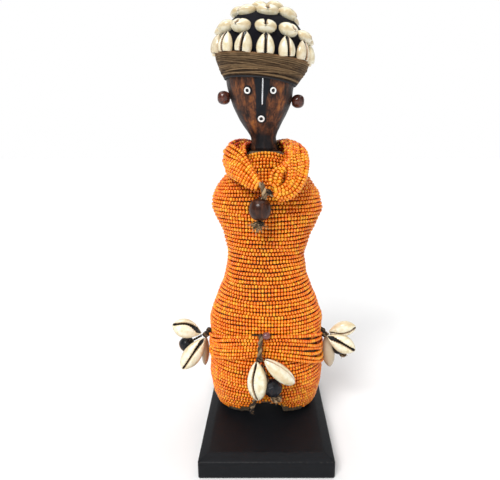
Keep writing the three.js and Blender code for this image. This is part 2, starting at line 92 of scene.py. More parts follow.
# ---- numbers ---------------------------------------------------------------------------------------------
def ramp(value, low, high):
    return np.clip((np.asarray(value, float) - low) / (high - low), 0, 1)


def smoothstep(value, low, high):
    t = ramp(value, low, high)
    return t * t * (3 - 2 * t)


def unit(vectors):
    vectors = np.asarray(vectors, float)
    return vectors / np.maximum(np.linalg.norm(vectors, axis=-1, keepdims=True), 1e-9)


def rounded(table, width):
    """A table's columns against height, with the corners of its straight runs rounded over width."""
    step = 0.25
    heights = np.arange(table[0, 0], table[-1, 0] + step / 2, step)
    kernel = np.hanning(int(width / step) + 2)
    kernel /= kernel.sum()
    pad = len(kernel) // 2
    columns = [heights]
    for column in table.T[1:]:
        line = np.pad(np.interp(heights, table[:, 0], column), pad, mode="reflect", reflect_type="odd")
        columns.append(np.convolve(line, kernel, mode="same")[pad:-pad])
    return columns


body_lines = rounded(BODY, 9)
head_lines = rounded(HEAD, 5)


def section(lines, height):
    return [np.interp(height, lines[0], column) for column in lines[1:]]


def middle_at(height):
    height = np.asarray(height, float)
    share = ramp(height, *NECK_LEAN)[..., None]
    sway = CHEST_SWAY * np.exp(-(((height - CHEST_HEIGHT) / CHEST_SPREAD) ** 2))[..., None]
    return BODY_MIDDLE * (1 - share) + HEAD_MIDDLE * share + sway


def body_point(angle, height, lift=0.0):
    angle, height = np.broadcast_arrays(np.asarray(angle, float), np.asarray(height, float))
    half_width, half_depth = section(body_lines, height)
    middle = middle_at(height)
    across = (half_width + lift) * np.sin(angle)
    x = middle[..., 0] + across
    inner_round = FOOT_ROUNDING * smoothstep(height, 30, SOLE) * np.exp(-((across / FOOT_INSIDE) ** 2))
    y = middle[..., 1] - (half_depth + lift - inner_round) * np.cos(angle)
    return np.stack([x, y, height], -1)


def body_out(angle, height):
    """The direction straight out of the beaded surface."""
    angle, height = np.broadcast_arrays(np.asarray(angle, float), np.asarray(height, float))
    half_width, half_depth = section(body_lines, height)
    above, below = section(body_lines, height + 0.5), section(body_lines, height - 0.5)
    slope = (above[0] + above[1] - below[0] - below[1]) / 2
    flat = unit(np.stack([np.sin(angle) / half_width, -np.cos(angle) / half_depth], -1))
    return unit(np.concatenate([flat, -slope[..., None]], -1))


def turn_hat(points, share=1.0):
    """Turns points about the hat's pivot by a share of its lean and nod."""
    share = np.asarray(share, float)
    p = np.asarray(points, float) - HAT_PIVOT
    lean, nod = HAT_LEAN * share, HAT_NOD * share
    x = p[..., 0] * np.cos(lean) + p[..., 2] * np.sin(lean)
    z = -p[..., 0] * np.sin(lean) + p[..., 2] * np.cos(lean)
    y = p[..., 1] * np.cos(nod) - z * np.sin(nod)
    z = p[..., 1] * np.sin(nod) + z * np.cos(nod)
    return np.stack([x, y, z], -1) + HAT_PIVOT


def head_point(angle, height, lift=0.0):
    angle, height = np.broadcast_arrays(np.asarray(angle, float), np.asarray(height, float))
    half_width, half_depth, ridge = section(head_lines, height)
    middle = middle_at(height)
    nose = ridge * np.exp(-((angle / 0.15) ** 2))
    x = middle[..., 0] + (half_width + lift) * np.sin(angle)
    y = middle[..., 1] - (half_depth + lift + nose) * np.cos(angle)
    return turn_hat(np.stack([x, y, height], -1), ramp(height, *LEAN_HEIGHTS))


def hat_frame(points):
    return turn_hat(np.asarray(points, float) + HAT_PIVOT)


def hat_point(reach, angle, height):
    reach, angle, height = np.broadcast_arrays(*(np.asarray(v, float) for v in (reach, angle, height)))
    return np.stack([reach * np.sin(angle), -reach * HAT_FLATNESS * np.cos(angle), height], -1)


def spline(points, count):
    """Evenly spaced points along a smooth curve through points."""
    p = np.asarray(points, float)
    p = np.vstack([2 * p[0] - p[1], p, 2 * p[-1] - p[-2]])
    t = np.linspace(0, 1, 24, endpoint=False)[:, None]
    runs = []
    for a, b, c, d in zip(p, p[1:], p[2:], p[3:]):
        square, cube = 2 * a - 5 * b + 4 * c - d, 3 * b - a - 3 * c + d
        runs.append(0.5 * (2 * b + (c - a) * t + square * t**2 + cube * t**3))
    return evenly(np.vstack([*runs, p[-2:-1]]), count)


def lengths_along(points):
    return np.concatenate([[0], np.cumsum(np.linalg.norm(np.diff(points, axis=0), axis=1))])


def sampled(at, run, points):
    """Points at the places at, where run says how far along each of points is."""
    return np.stack([np.interp(at, run, column) for column in np.asarray(points).T], -1)


def evenly(points, count):
    run = lengths_along(points)
    return sampled(np.linspace(0, run[-1], count), run, points)


def carried_frames(points):
    """Tangents and two directions across a line, carried along it without twist."""
    tangents = unit(np.gradient(points, axis=0))
    side = unit(np.cross(tangents[0], [0.31, 0.87, 0.37]))
    sides = []
    for tangent in tangents:
        side = unit(side - tangent * np.dot(side, tangent))
        sides.append(side)
    sides = np.array(sides)
    return tangents, sides, np.cross(tangents, sides)


def frame_along(place, along, facing):
    """Rows of a frame at place with Z along a direction and -Y as near to facing as it can be."""
    z = unit(along)
    x = unit(-np.cross(facing, z))
    return np.array([x, np.cross(z, x), z]), np.asarray(place, float)


# ---- meshes ----------------------------------------------------------------------------------------------
class Soup:
    """Points and faces gathered for one piece. look holds three numbers a point for its material."""

    def __init__(self):
        self.points, self.faces, self.looks, self.count = [], [], [], 0

    def add(self, points, faces, look=(0, 0, 0)):
        points = np.asarray(points, float).reshape(-1, 3)
        self.points.append(points)
        self.looks.append(np.broadcast_to(np.asarray(look, float), points.shape))
        for group in faces:
            group = np.asarray(group, int)
            if len(group):
                self.faces.append(group + self.count)
        self.count += len(points)
        return self

    def piece(self, name, material, body, slot, replaces=(), smooth=True):
        mesh = bpy.data.meshes.new(name)
        faces = [face for group in self.faces for face in group.tolist()]
        mesh.from_pydata((np.vstack(self.points) * MM).tolist(), [], faces)
        mesh.polygons.foreach_set("use_smooth", np.full(len(faces), smooth))
        mesh.attributes.new("look", "FLOAT_VECTOR", "POINT")
        mesh.attributes["look"].data.foreach_set("vector", np.vstack(self.looks).astype(np.float32).ravel())
        mesh.materials.append(material)
        mesh.update()
        made = bpy.data.objects.new(name, mesh)
        bpy.context.scene.collection.objects.link(made)
        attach(made, body)
        if replaces:
            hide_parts(*replaces)
        return made


def grid_faces(rows, columns, wrap_rows=False):
    """Quads of a grid of points, whose rows close on themselves."""
    r = np.arange(rows if wrap_rows else rows - 1)[:, None]
    c = np.arange(columns)
    above, after = (r + 1) % rows, (c + 1) % columns
    corners = (r, c), (r, after), (above, after), (above, c)
    return np.stack([(row * columns + column).ravel() for row, column in corners], -1)


def looks_on(shape, *values):
    """Three look numbers for each of a grid's points, each spread over its shape."""
    return np.stack([np.broadcast_to(value, shape) for value in values], -1)


def round_angles(count):
    return np.linspace(-math.pi, math.pi, count, endpoint=False)


def closed(soup, grid, look=(0, 0, 0), flip=False):
    """Adds a grid of rings as a closed body, with a point over the first and last ring."""
    rows, columns = grid.shape[:2]
    points = np.vstack([grid.reshape(-1, 3), grid[0].mean(0), grid[-1].mean(0)])
    look = np.asarray(look, float)
    if look.ndim == 3:
        look = np.vstack([look.reshape(-1, 3), look[0].mean(0), look[-1].mean(0)])
    c = np.arange(columns)
    low = np.stack([c, np.full(columns, rows * columns), (c + 1) % columns], -1)
    top = (rows - 1) * columns
    high = np.stack([top + c, top + (c + 1) % columns, np.full(columns, rows * columns + 1)], -1)
    quads = grid_faces(rows, columns)
    if flip:
        quads, low, high = quads[:, ::-1], low[:, ::-1], high[:, ::-1]
    return soup.add(points, [quads, low, high], look)


def ring_body(soup, grid, look=(0, 0, 0)):
    """Adds a grid that closes on itself both ways, such as a sleeve or a bored bead."""
    look = np.asarray(look, float)
    if look.ndim == 3:
        look = look.reshape(-1, 3)
    return soup.add(grid, [grid_faces(*grid.shape[:2], wrap_rows=True)], look)


def turned(outline, place, sides):
    """Rings of an outline of [reach, height] pairs, with place(reach, angle, height) putting each point."""
    outline = np.asarray(outline, float)
    angle = round_angles(sides)
    return place(outline[:, :1], angle[None, :], outline[:, 1:2])


def round_place(reach, angle, height):
    reach, angle, height = np.broadcast_arrays(reach, angle, height)
    return np.stack([reach * np.sin(angle), -reach * np.cos(angle), height], -1)


def tube(soup, line, radius, sides=6, tint=0.0):
    """A closed tube along a line of points. radius is one number or one a point."""
    _, across, other = carried_frames(line)
    angle = np.linspace(0, 2 * math.pi, sides, endpoint=False)
    radius = np.broadcast_to(np.asarray(radius, float), len(line))[:, None, None]
    ring = across[:, None] * np.cos(angle)[None, :, None] + other[:, None] * np.sin(angle)[None, :, None]
    grid = line[:, None] + ring * radius
    turns = angle / (2 * math.pi)
    return closed(soup, grid, looks_on(grid.shape[:2], lengths_along(line)[:, None], turns, tint))


def twisted(soup, line, radius, pitch=None, tint=0.5):
    """Two plies of twine wound round each other along a line, one painted pale as if lit and one dark as
    painted shade.
    """
    pitch = pitch or radius * 5
    _, across, other = carried_frames(line)
    run = lengths_along(line)
    for ply, ply_shade in enumerate((-0.26, 0.24)):
        turn = 2 * math.pi * (run / pitch + ply / 2)
        offset = across * np.cos(turn)[:, None] + other * np.sin(turn)[:, None]
        ply_line = line + offset * radius * 0.48
        shade = tint + ply_shade + rng.uniform(-0.08, 0.08)
        tube(soup, ply_line, radius * 0.6, 6, shade)


def wound_knot(soup, centre, radii, turns=4, strand=0.75, tint=0.45):
    """A knot: a core with a strand of twine wrapped round it in crossing turns."""
    centre, radii = np.asarray(centre, float), np.asarray(radii, float)
    core = turned([[math.sin(a), -math.cos(a)] for a in np.linspace(0.2, math.pi - 0.2, 9)], round_place, 14)
    # Painted shade: the core is darker, so the gaps between the turns look shaded.
    closed(soup, centre + core * (radii - strand * 0.8), (0, 0, tint - 0.25))
    t = np.linspace(0, 1, 36 * turns)
    swing = 2 * math.pi * turns * t
    lean = 0.75 * np.sin(2 * math.pi * t * (turns - 1) / 2 + 0.6)
    loop = np.stack([np.cos(swing), np.sin(swing) * np.cos(lean), np.sin(swing) * np.sin(lean)], -1)
    loop = unit(loop + 0.25 * np.stack([np.sin(3 * swing / turns), np.cos(2 * swing / turns), 0 * t], -1))
    twisted(soup, centre + loop * (radii - strand * 0.55), strand, tint=tint)


def frayed(soup, centre, direction, length, count, spread, radius=0.22, tint=0.6):
    """Loose fibres that spread from a centre."""
    direction = unit(direction)
    for _ in range(count):
        heading = unit(direction + rng.normal(0, spread, 3))
        curl = rng.normal(0, 0.45, 3)
        reach = length * rng.uniform(0.45, 1.0)
        t = np.linspace(0, 1, 7)[:, None]
        line = np.asarray(centre) + (heading * t + curl * t**2 * 0.5) * reach
        tube(soup, line, radius * (1.05 - t[:, 0] * 0.7), 4, tint + rng.uniform(-0.45, 0.35))


# ---- materials -------------------------------------------------------------------------------------------
TITLES = {
    "coat": "Coat Weight", "coat_roughness": "Coat Roughness", "sheen": "Sheen Weight",
    "sheen_roughness": "Sheen Roughness", "specular": "Specular IOR Level",
}


class Wire:
    """A node's output. +, -, * and / join it to another wire or a number through a Math node."""

    def __init__(self, nodes, socket):
        self.nodes, self.socket = nodes, socket

    def __add__(self, other):
        return self.nodes.math("ADD", self, other)

    def __sub__(self, other):
        return self.nodes.math("SUBTRACT", self, other)

    def __mul__(self, other):
        return self.nodes.math("MULTIPLY", self, other)

    def __truediv__(self, other):
        return self.nodes.math("DIVIDE", self, other)


class Nodes:
    """Short ways to add nodes to a tree."""

    def __init__(self, tree):
        self.tree = tree

    def feed(self, socket, value):
        if isinstance(value, Wire):
            self.tree.links.new(value.socket, socket)
        else:
            socket.default_value = value

    def node(self, kind, inputs, output=0, **settings):
        """A new node's output. inputs gives wires or values by the socket's name or place."""
        made = self.tree.nodes.new("ShaderNode" + kind)
        for key, value in settings.items():
            setattr(made, key, value)
        for place, value in inputs.items():
            self.feed(made.inputs[place], value)
        return Wire(self, made.outputs[output])

    def split(self, vector):
        first = self.node("SeparateXYZ", {0: vector})
        return [Wire(self, socket) for socket in first.socket.node.outputs]

    def math(self, operation, a, b=0.0):
        return self.node("Math", {0: a, 1: b}, operation=operation)


class Shader(Nodes):
    """A Principled material and short ways to add nodes to it."""

    def __init__(self, name, **sockets):
        self.material = bpy.data.materials.new(name)
        self.material.use_nodes = True
        super().__init__(self.material.node_tree)
        self.surface = self.tree.nodes["Principled BSDF"]
        for socket, value in sockets.items():
            self.surface.inputs[TITLES.get(socket, socket.capitalize())].default_value = value

    def look(self):
        """The three numbers that each point carries."""
        return self.split(self.node("Attribute", {}, "Vector", attribute_name="look"))

    def place(self, scale=(1, 1, 1)):
        """Coordinates in millimetres in the object's frame, stretched by scale."""
        whole = self.node("TexCoord", {}, "Object")
        return self.node("Mapping", {"Vector": whole, "Scale": [s / MM for s in scale]})

    def noise(self, vector, scale, detail=3, roughness=0.55):
        inputs = {"Vector": vector, "Scale": scale, "Detail": detail, "Roughness": roughness}
        return self.node("TexNoise", inputs, "Fac")

    def range(self, value, low, high, to_low=0.0, to_high=1.0):
        inputs = dict(enumerate((value, low, high, to_low, to_high)))
        return self.node("MapRange", inputs, interpolation_type="SMOOTHSTEP")

    def ramp(self, factor, *stops):
        made = self.node("ValToRGB", {0: factor})
        elements = made.socket.node.color_ramp.elements
        while len(elements) < len(stops):
            elements.new(0.5)
        for element, (position, color) in zip(elements, stops):
            element.position = position
            element.color = (*color, 1)
        return made

    def mix(self, factor, a, color):
        return self.node("Mix", {0: factor, 6: a, 7: (*color, 1)}, 2, data_type="RGBA")

    def bump(self, height, strength, distance):
        inputs = {"Strength": strength, "Distance": distance * MM, "Height": height}
        self.feed(self.surface.inputs["Normal"], self.node("Bump", inputs))

    def paint(self, color, roughness=None):
        self.feed(self.surface.inputs["Base Color"], color)
        if roughness is not None:
            self.feed(self.surface.inputs["Roughness"], roughness)
        return self.material


def seed_bead_material():
    """Glaze: look holds the bead's own tint and how near its crown a point is, for painted shade and
    highlight.
    """
    s = Shader("seed_bead_glaze", roughness=0.27, coat=0.2, coat_roughness=0.12, specular=0.4)
    tint, crown, _ = s.look()
    # Painted shade and highlight: near black-red where the bead faces the body, yellow-orange at its crown.
    crown_light_and_shade = s.ramp(crown, (0.0, (0.10, 0.005, 0.0006)), (0.42, (0.48, 0.034, 0.001)),
                  (0.72, (0.86, 0.150, 0.004)), (1.0, (1.0, 0.33, 0.012)))
    pale = s.mix(s.range(tint, 0.55, 1.0, 0.0, 0.6), crown_light_and_shade, (1.0, 0.50, 0.028))
    red = s.mix(s.range(tint, 0.0, 0.35, 0.4, 0.0), pale, (0.68, 0.065, 0.003))
    speck = s.noise(s.place(), 1.6, 2)
    s.bump(speck, 0.12, 0.2)
    return s.paint(s.mix(s.range(speck, 0.62, 0.75, 0.0, 0.2), red, (0.40, 0.03, 0.002)))


# Rubbed patches of the face: place along the arc from the ridge, height, breadth, tallness and strength.
RUBBED_PATCHES = [
    (-5.0, 207.0, 2.4, 5.0, 0.13), (-4.6, 218.5, 2.6, 2.6, 0.11), (-12.0, 216.0, 4.0, 7.0, 0.03),
    (11.0, 213.5, 2.2, 6.0, 0.16), (9.0, 219.5, 2.6, 2.0, 0.08), (-4.0, 198.5, 3.0, 3.6, 0.10),
    (7.0, 205.5, 3.5, 5.0, 0.05), (8.0, 198.0, 3.0, 4.0, -0.06), (-11.5, 204.0, 2.6, 5.0, -0.08),
]


def carved_wood_material():
    """Rubbed brown wood, black down the ridge. look holds the arc from the ridge, the height and the turn."""
    s = Shader("rubbed_carved_wood", roughness=0.42, coat=0.04, coat_roughness=0.3, specular=0.2)
    across, height, side = s.look()
    streak = s.noise(s.place((1, 1, 0.35)), 0.34, 6, 0.7)
    fine = s.noise(s.place((1, 1, 0.14)), 2.2, 4, 0.65)
    worn = streak
    for x, z, wide, tall, amount in RUBBED_PATCHES:
        dx, dz = (across - x) / wide, (height - z) / tall
        worn += s.math("EXPONENT", (dx * dx + dz * dz) * -1.0) * amount
    worn += (fine - 0.5) * 0.35
    color = s.ramp(worn, (0.38, (0.014, 0.007, 0.005)), (0.50, (0.062, 0.023, 0.012)),
                   (0.59, (0.150, 0.050, 0.019)), (0.74, (0.36, 0.125, 0.030)))
    wander = s.noise(s.place((1, 1, 0.5)), 0.7, 3) - 0.5
    shaken = across + wander * 1.6
    right = shaken - s.range(height, 208.0, 221.0, 2.3, 5.6)
    left = shaken * -1.0 - 2.5
    ridge = s.range(s.math("MAXIMUM", right, left), -0.3, 0.5, 1.0, 0.0) * s.range(height, 197.5, 199.5)
    color = s.mix(ridge, color, (0.004, 0.006, 0.010))
    edge = s.range(side + wander * 0.5, 0.28, 0.62)
    color = s.mix(edge * 0.86, color, (0.015, 0.012, 0.012))
    middle = s.range(s.math("ABSOLUTE", shaken), 4.0, 7.0, 0.9, 0.0)
    color = s.mix(middle * s.range(height, 190.0, 194.0, 1.0, 0.0), color, (0.004, 0.005, 0.007))
    for _, angle, z, _, reach in FACE_MARKS:
        half_width, half_depth, _ = section(head_lines, z)
        dx, dz = across - float(angle * (half_width + half_depth) / 2), height - z
        far = s.math("SQRT", dx * dx + dz * dz)
        color = s.mix(s.range(far, reach, reach + 0.6, 0.97, 0.0), color, (0.006, 0.006, 0.008))
    s.bump(fine + streak * 1.5, 0.4, 0.4)
    return s.paint(color, s.range(fine, 0.3, 0.7, 0.36, 0.55))


def cloth_material(name, dark, light, pitch, sheen):
    """A woven cloth whose look numbers run along its two thread directions in millimetres."""
    s = Shader(name, roughness=0.9, sheen=sheen, sheen_roughness=0.5, specular=0.15)
    warp, weft = (s.math("SINE", thread * (2 * math.pi / pitch)) for thread in s.look()[:2])
    weave = warp * weft
    fuzz = s.noise(s.place(), 0.8, 5, 0.7)
    s.bump(weave + fuzz * 3.0, 0.7, 0.18)
    return s.paint(s.ramp(weave * 0.18 + fuzz, (0.3, dark), (0.7, light)))


def twine_material(name, dark, mid, light):
    """Fibres at a slant along each ply. look holds the distance along, the turn round, and the tint with
    painted light and shade.
    """
    s = Shader(name, roughness=0.85, sheen=0.06, sheen_roughness=0.6, specular=0.25)
    along, turns, tint = s.look()
    fibre = s.math("SINE", (turns * 9.0 + along * 1.1) * (2 * math.pi))
    patches = s.noise(s.place(), 0.55, 4, 0.65) * 0.6
    s.bump(fibre, 0.5, 0.12)
    return s.paint(s.ramp(fibre * 0.05 + (patches + tint * 0.75), (0.38, dark), (0.66, mid), (0.98, light)))


def band_material():
    """Wound twine: look holds the distance round, the turn's own shade, and how near the top edge it is."""
    s = Shader("wound_band_twine", roughness=0.85, sheen=0.05, sheen_roughness=0.5, specular=0.2)
    around, shade, top = s.look()
    streak_at, fibre_at = (s.node("CombineXYZ", {0: around * first, 1: shade * second, 2: third})
                           for first, second, third in ((0.22, 31.0, 0.0), (0.9, 77.0, 3.0)))
    value = s.noise(streak_at, 1.0, 5, 0.65) * 0.5 + shade * 0.42
    color = s.ramp(value, (0.26, (0.026, 0.014, 0.007)), (0.45, (0.110, 0.067, 0.034)),
                   (0.68, (0.30, 0.195, 0.098)))
    s.bump(s.noise(fibre_at, 1.6, 3), 0.6, 0.25)
    return s.paint(s.mix(s.range(top, 0.88, 1.0, 0.0, 0.7), color, (0.30, 0.155, 0.065)))


def shell_material():
    """Cowrie: look holds how far into the slit a point is, how near the rim, and the shell's tint and painted
    shade.
    """
    s = Shader("cowrie_enamel", roughness=0.26, coat=0.4, coat_roughness=0.12)
    slit, rim, tint = s.look()
    cloud = s.noise(s.place(), 0.35, 4, 0.6)
    color = s.ramp(cloud, (0.32, (0.74, 0.63, 0.38)), (0.5, (0.86, 0.80, 0.59)), (0.68, (0.92, 0.89, 0.75)))
    color = s.mix(s.range(rim, 0.35, 1.0, 0.0, 0.62), color, (0.60, 0.43, 0.21))
    # Tan that differs from shell to shell, and painted shade on shells that hang behind the bunches.
    color = s.mix(s.range(tint, 0.0, 1.0, 0.0, 0.9), color, (0.50, 0.38, 0.25))
    # Painted shade in the slit: brown at its lip, near black further in.
    color = s.mix(s.range(slit, 0.02, 0.25, 0.0, 0.75), color, (0.42, 0.22, 0.11))
    color = s.mix(s.range(slit, 0.3, 0.62), color, (0.004, 0.003, 0.003))
    s.bump(s.noise(s.place(), 1.3, 3), 0.12, 0.25)
    return s.paint(color, s.range(slit, 0.3, 0.6, 0.24, 0.8))


def polished_bead_material(name, dark, mid, light, coat=0.35):
    s = Shader(name, roughness=0.45, coat=coat, coat_roughness=0.11, specular=0.16)
    grain = s.noise(s.place((1, 1, 0.25)), 0.6, 5, 0.6)
    s.bump(grain, 0.08, 0.2)
    return s.paint(s.ramp(grain, (0.35, dark), (0.55, mid), (0.75, light)))


def plain_material(name, color, spot, roughness, scale=0.8, strength=0.1, **sockets):
    """A surface of nearly one colour with faint mottling."""
    s = Shader(name, **sockets)
    mottle = s.noise(s.place(), scale, 5, 0.65)
    s.bump(mottle, strength, 0.15)
    rough = s.range(mottle, 0.3, 0.7, roughness * 0.8, roughness * 1.25)
    return s.paint(s.ramp(mottle, (0.35, color), (0.75, spot)), rough)


def plinth_material():
    """Satin black paint: look holds how near an edge a point is."""
    s = Shader("plinth_black_satin", specular=0.14)
    edge, _, _ = s.look()
    brushed = s.noise(s.place((0.15, 1, 1)), 0.9, 5, 0.6)
    worn = s.range(edge, 0.55, 1.0) * s.range(s.noise(s.place(), 0.5, 5, 0.7), 0.45, 0.7)
    color = s.ramp(brushed, (0.3, (0.0040, 0.0045, 0.0058)), (0.72, (0.0085, 0.0092, 0.0115)))
    s.bump(s.noise(s.place(), 2.6, 3), 0.12, 0.12)
    return s.paint(s.mix(worn * 0.35, color, (0.06, 0.055, 0.05)), s.range(brushed, 0.3, 0.7, 0.40, 0.55))


seed_glaze = seed_bead_material()
carved_wood = carved_wood_material()
brown_cloth = cloth_material("coarse_brown_cloth", (0.050, 0.030, 0.015), (0.30, 0.195, 0.10), 0.9, 0.1)
cap_cloth = cloth_material("black_cap_weave", (0.0012, 0.0012, 0.0035), (0.0075, 0.0065, 0.013), 0.8, 0.04)
twine = twine_material("waxed_two_ply_twine", (0.012, 0.007, 0.004), (0.125, 0.072, 0.034),
                       (0.46, 0.32, 0.18))
band_twine = band_material()
enamel = shell_material()
pendant_polish = polished_bead_material("dark_brown_bead", (0.016, 0.005, 0.003), (0.044, 0.013, 0.006),
                                        (0.115, 0.034, 0.011))
horn_polish = polished_bead_material("blue_black_bead", (0.004, 0.005, 0.007), (0.010, 0.011, 0.015),
                                     (0.030, 0.014, 0.011), 0.2)
ear_polish = polished_bead_material("red_brown_wood_bead", (0.030, 0.009, 0.006), (0.085, 0.022, 0.013),
                                    (0.19, 0.052, 0.026), 0.8)
rim_wood = plain_material("pale_bead_rim", (0.30, 0.16, 0.07), (0.45, 0.27, 0.13), 0.6)
white_glass = plain_material("opaque_white_glass", (0.86, 0.86, 0.84), (0.93, 0.93, 0.92), 0.14, coat=0.6)
nail_black = plain_material("black_nail_paint", (0.006, 0.006, 0.007), (0.014, 0.014, 0.015), 0.3)
strip_metal = plain_material("bright_strip_metal", (0.72, 0.73, 0.75), (0.86, 0.87, 0.89), 0.26, 2.2, 0.06,
                             metallic=1.0)
wire_metal = plain_material("dull_steel_wire", (0.20, 0.20, 0.21), (0.36, 0.36, 0.37), 0.4, 2.0, 0.2,
                            metallic=1.0)
plum_glass = plain_material("plum_glass", (0.10, 0.024, 0.030), (0.26, 0.10, 0.09), 0.2, coat=0.4)
plinth_paint = plinth_material()
dowel_wood = plain_material("plain_dowel_wood", (0.33, 0.20, 0.10), (0.50, 0.34, 0.19), 0.6, 1.2, 0.3)
thread_dark = plain_material("black_waxed_thread", (0.005, 0.006, 0.009), (0.012, 0.013, 0.018), 0.6,
                             1.5, 0.3)


# ---- strings of seed beads -------------------------------------------------------------------------------
BEAD_PROFILE = np.array([[-0.88, 0.50], [-0.68, 0.97], [0.0, BEAD_RADIUS], [0.68, 0.97], [0.88, 0.50]])
BEAD_SIDES = 8
BEAD_PITCH = 1.95


def bead_shape():
    """One bead with its hole along X, and its faces pointing out."""
    angle = np.linspace(0, 2 * math.pi, BEAD_SIDES, endpoint=False) + math.pi / BEAD_SIDES
    x = np.broadcast_to(BEAD_PROFILE[:, :1], (len(BEAD_PROFILE), BEAD_SIDES))
    points = np.stack([x, BEAD_PROFILE[:, 1:] * np.cos(angle), BEAD_PROFILE[:, 1:] * np.sin(angle)], -1)
    return points.reshape(-1, 3), grid_faces(len(BEAD_PROFILE), BEAD_SIDES, wrap_rows=True)[:, ::-1]


bead_points, bead_faces = bead_shape()


def lay_beads(soup, centres, tangents, outs, scale=1.0, tint_shift=0.0):
    """Adds a seed bead at each centre, threaded along its tangent, each a little different."""
    count = len(centres)
    if not count:
        return
    x = unit(tangents + rng.normal(0, 0.055, (count, 3)))
    z = unit(outs - x * np.sum(outs * x, -1, keepdims=True))
    basis = np.stack([x, np.cross(z, x), z], 1)
    size = scale * rng.normal(1, 0.045, (count, 1, 1)).clip(0.88, 1.1)
    stretch = np.stack([rng.normal(1, 0.05, count), np.ones(count), np.ones(count)], -1)[:, None]
    points = centres[:, None] + np.einsum("kpi,kij->kpj", bead_points * size * stretch, basis)
    # crown is 0 where the bead faces the body and 1 at its outer crown; the glaze paints shade and highlight
    # by it.
    crown = (bead_points[:, 2] / BEAD_RADIUS + 1) / 2
    tint = rng.uniform(0, 1, (count, 1)) + tint_shift
    look = looks_on((count, len(bead_points)), tint, crown, 0)
    faces = bead_faces[None] + (np.arange(count) * len(bead_points))[:, None, None]
    soup.add(points, [faces.reshape(-1, 4)], look.reshape(-1, 3))


def string_on(soup, line, outs, pitch=BEAD_PITCH, keep=None, scale=1.0, tint_shift=0.0):
    """Threads seed beads along a line of points, leaving out those that keep(centres) turns down."""
    run = lengths_along(line)
    count = max(1, round(run[-1] / pitch))
    at = (np.arange(count) + 0.5) * run[-1] / count
    centres = sampled(at, run, line)
    tangents = sampled(at, run, np.gradient(line, run, axis=0))
    outward = sampled(at, run, outs)
    held = np.ones(count, bool) if keep is None else keep(centres)
    lay_beads(soup, centres[held], unit(tangents[held]), unit(outward[held]), scale, tint_shift)


def row_heights():
    """Heights of the rows of beads, evenly spaced along the slope of the body."""
    heights = body_lines[0]
    reach = (body_lines[1] + body_lines[2]) / 2
    run = np.concatenate([[0], np.cumsum(np.hypot(np.diff(heights), np.diff(reach)))])
    start, end = 1.4, run[-1] - 0.7
    return np.interp(np.linspace(start, end, round((end - start) / ROW_PITCH) + 1), run, heights)


def hem_height(angle):
    """The lowest bead edge: lower at the sides of the feet than at their fronts."""
    return 20.4 - 6.1 * np.sin(angle) ** 2


def leg_keep(centres):
    across = centres[:, 0] - BODY_MIDDLE[0]
    angle = np.arctan2(across, BODY_MIDDLE[1] - centres[:, 1])
    arch = (across / (LEG_GAP_HALF + 2.6)) ** 2 + ((centres[:, 2] - SOLE) / (LEG_GAP_TOP - SOLE + 3.2)) ** 2
    return (arch > 1) & (centres[:, 2] - BEAD_RADIUS > hem_height(angle))


def belt_level(angle):
    """The height of the belt's middle: it hangs lower at the sides, most of all on the right."""
    angle = np.arctan2(np.sin(angle), np.cos(angle))
    side = np.sin(angle) ** 2
    return BELT_HEIGHT - 1.3 - (BELT_DROP + np.where(angle > 0, 3.6, 1.2)) * side


def outside_belt(centres):
    """Only threads and cloth lie behind the belt, so its gaps are dark."""
    across = np.clip((centres[:, 0] - BODY_MIDDLE[0]) / 35.5, -1, 1)
    middle = belt_level(np.arcsin(across))
    low = middle - 6.6 - np.where(across > 0, 1.2, -1.2) * across**2
    high = middle + 6.4 + np.where(across > 0, 1.6, -1.0) * across**2
    return (centres[:, 2] < low) | (centres[:, 2] > high) | (np.abs(across) > 0.93)


def beaded_rows():
    """The rows that cover the body, in bands that follow the CAD's three sleeves."""
    bands = [
        ("bead_rows_legs_lower", 0, 33, ("bead_rows_legs",)), ("bead_rows_legs_upper", 33, 50, ()),
        ("bead_rows_hips_lower", 50, 75, ("bead_rows_hips",)), ("bead_rows_hips_upper", 75, 97, ()),
        ("bead_rows_waist", 97, 118, ()), ("bead_rows_chest_lower", 118, 139, ("bead_rows_chest",)),
        ("bead_rows_chest_middle", 139, 158, ()), ("bead_rows_shoulders", 158, NECKLINE + 1, ()),
    ]
    heights = row_heights()
    angle = np.linspace(-math.pi, math.pi, 361)
    for name, low, high, replaced in bands:
        soup = Soup()
        for index, height in enumerate(heights):
            if not low <= height < high:
                continue
            phase = 0.33 * index
            wave = 0.28 * np.sin(2 * angle + phase) + 0.16 * np.sin(5 * angle + 1.7 * phase)
            wave += 0.10 * np.sin(9 * angle + 2.3 * index) + rng.uniform(-0.12, 0.12)
            wave *= np.minimum(1, (NECKLINE - height) / 6)
            level = height + wave - 3.4 * np.sin(angle) ** 2 * smoothstep(height, 150, 180)
            outs = body_out(angle, level)
            drift = 0.12 * np.sin(3 * angle + 1.3 * index) - 0.06
            line = body_point(angle, level) + outs * (drift[:, None] - BEAD_RADIUS)
            keep = leg_keep if height < 32 else outside_belt if 48 < height < 78 else None
            string_on(soup, line, outs, keep=keep, tint_shift=rng.uniform(-0.12, 0.12))
        soup.piece(name, seed_glaze, ROOT, "orange_seed_beads", replaced)


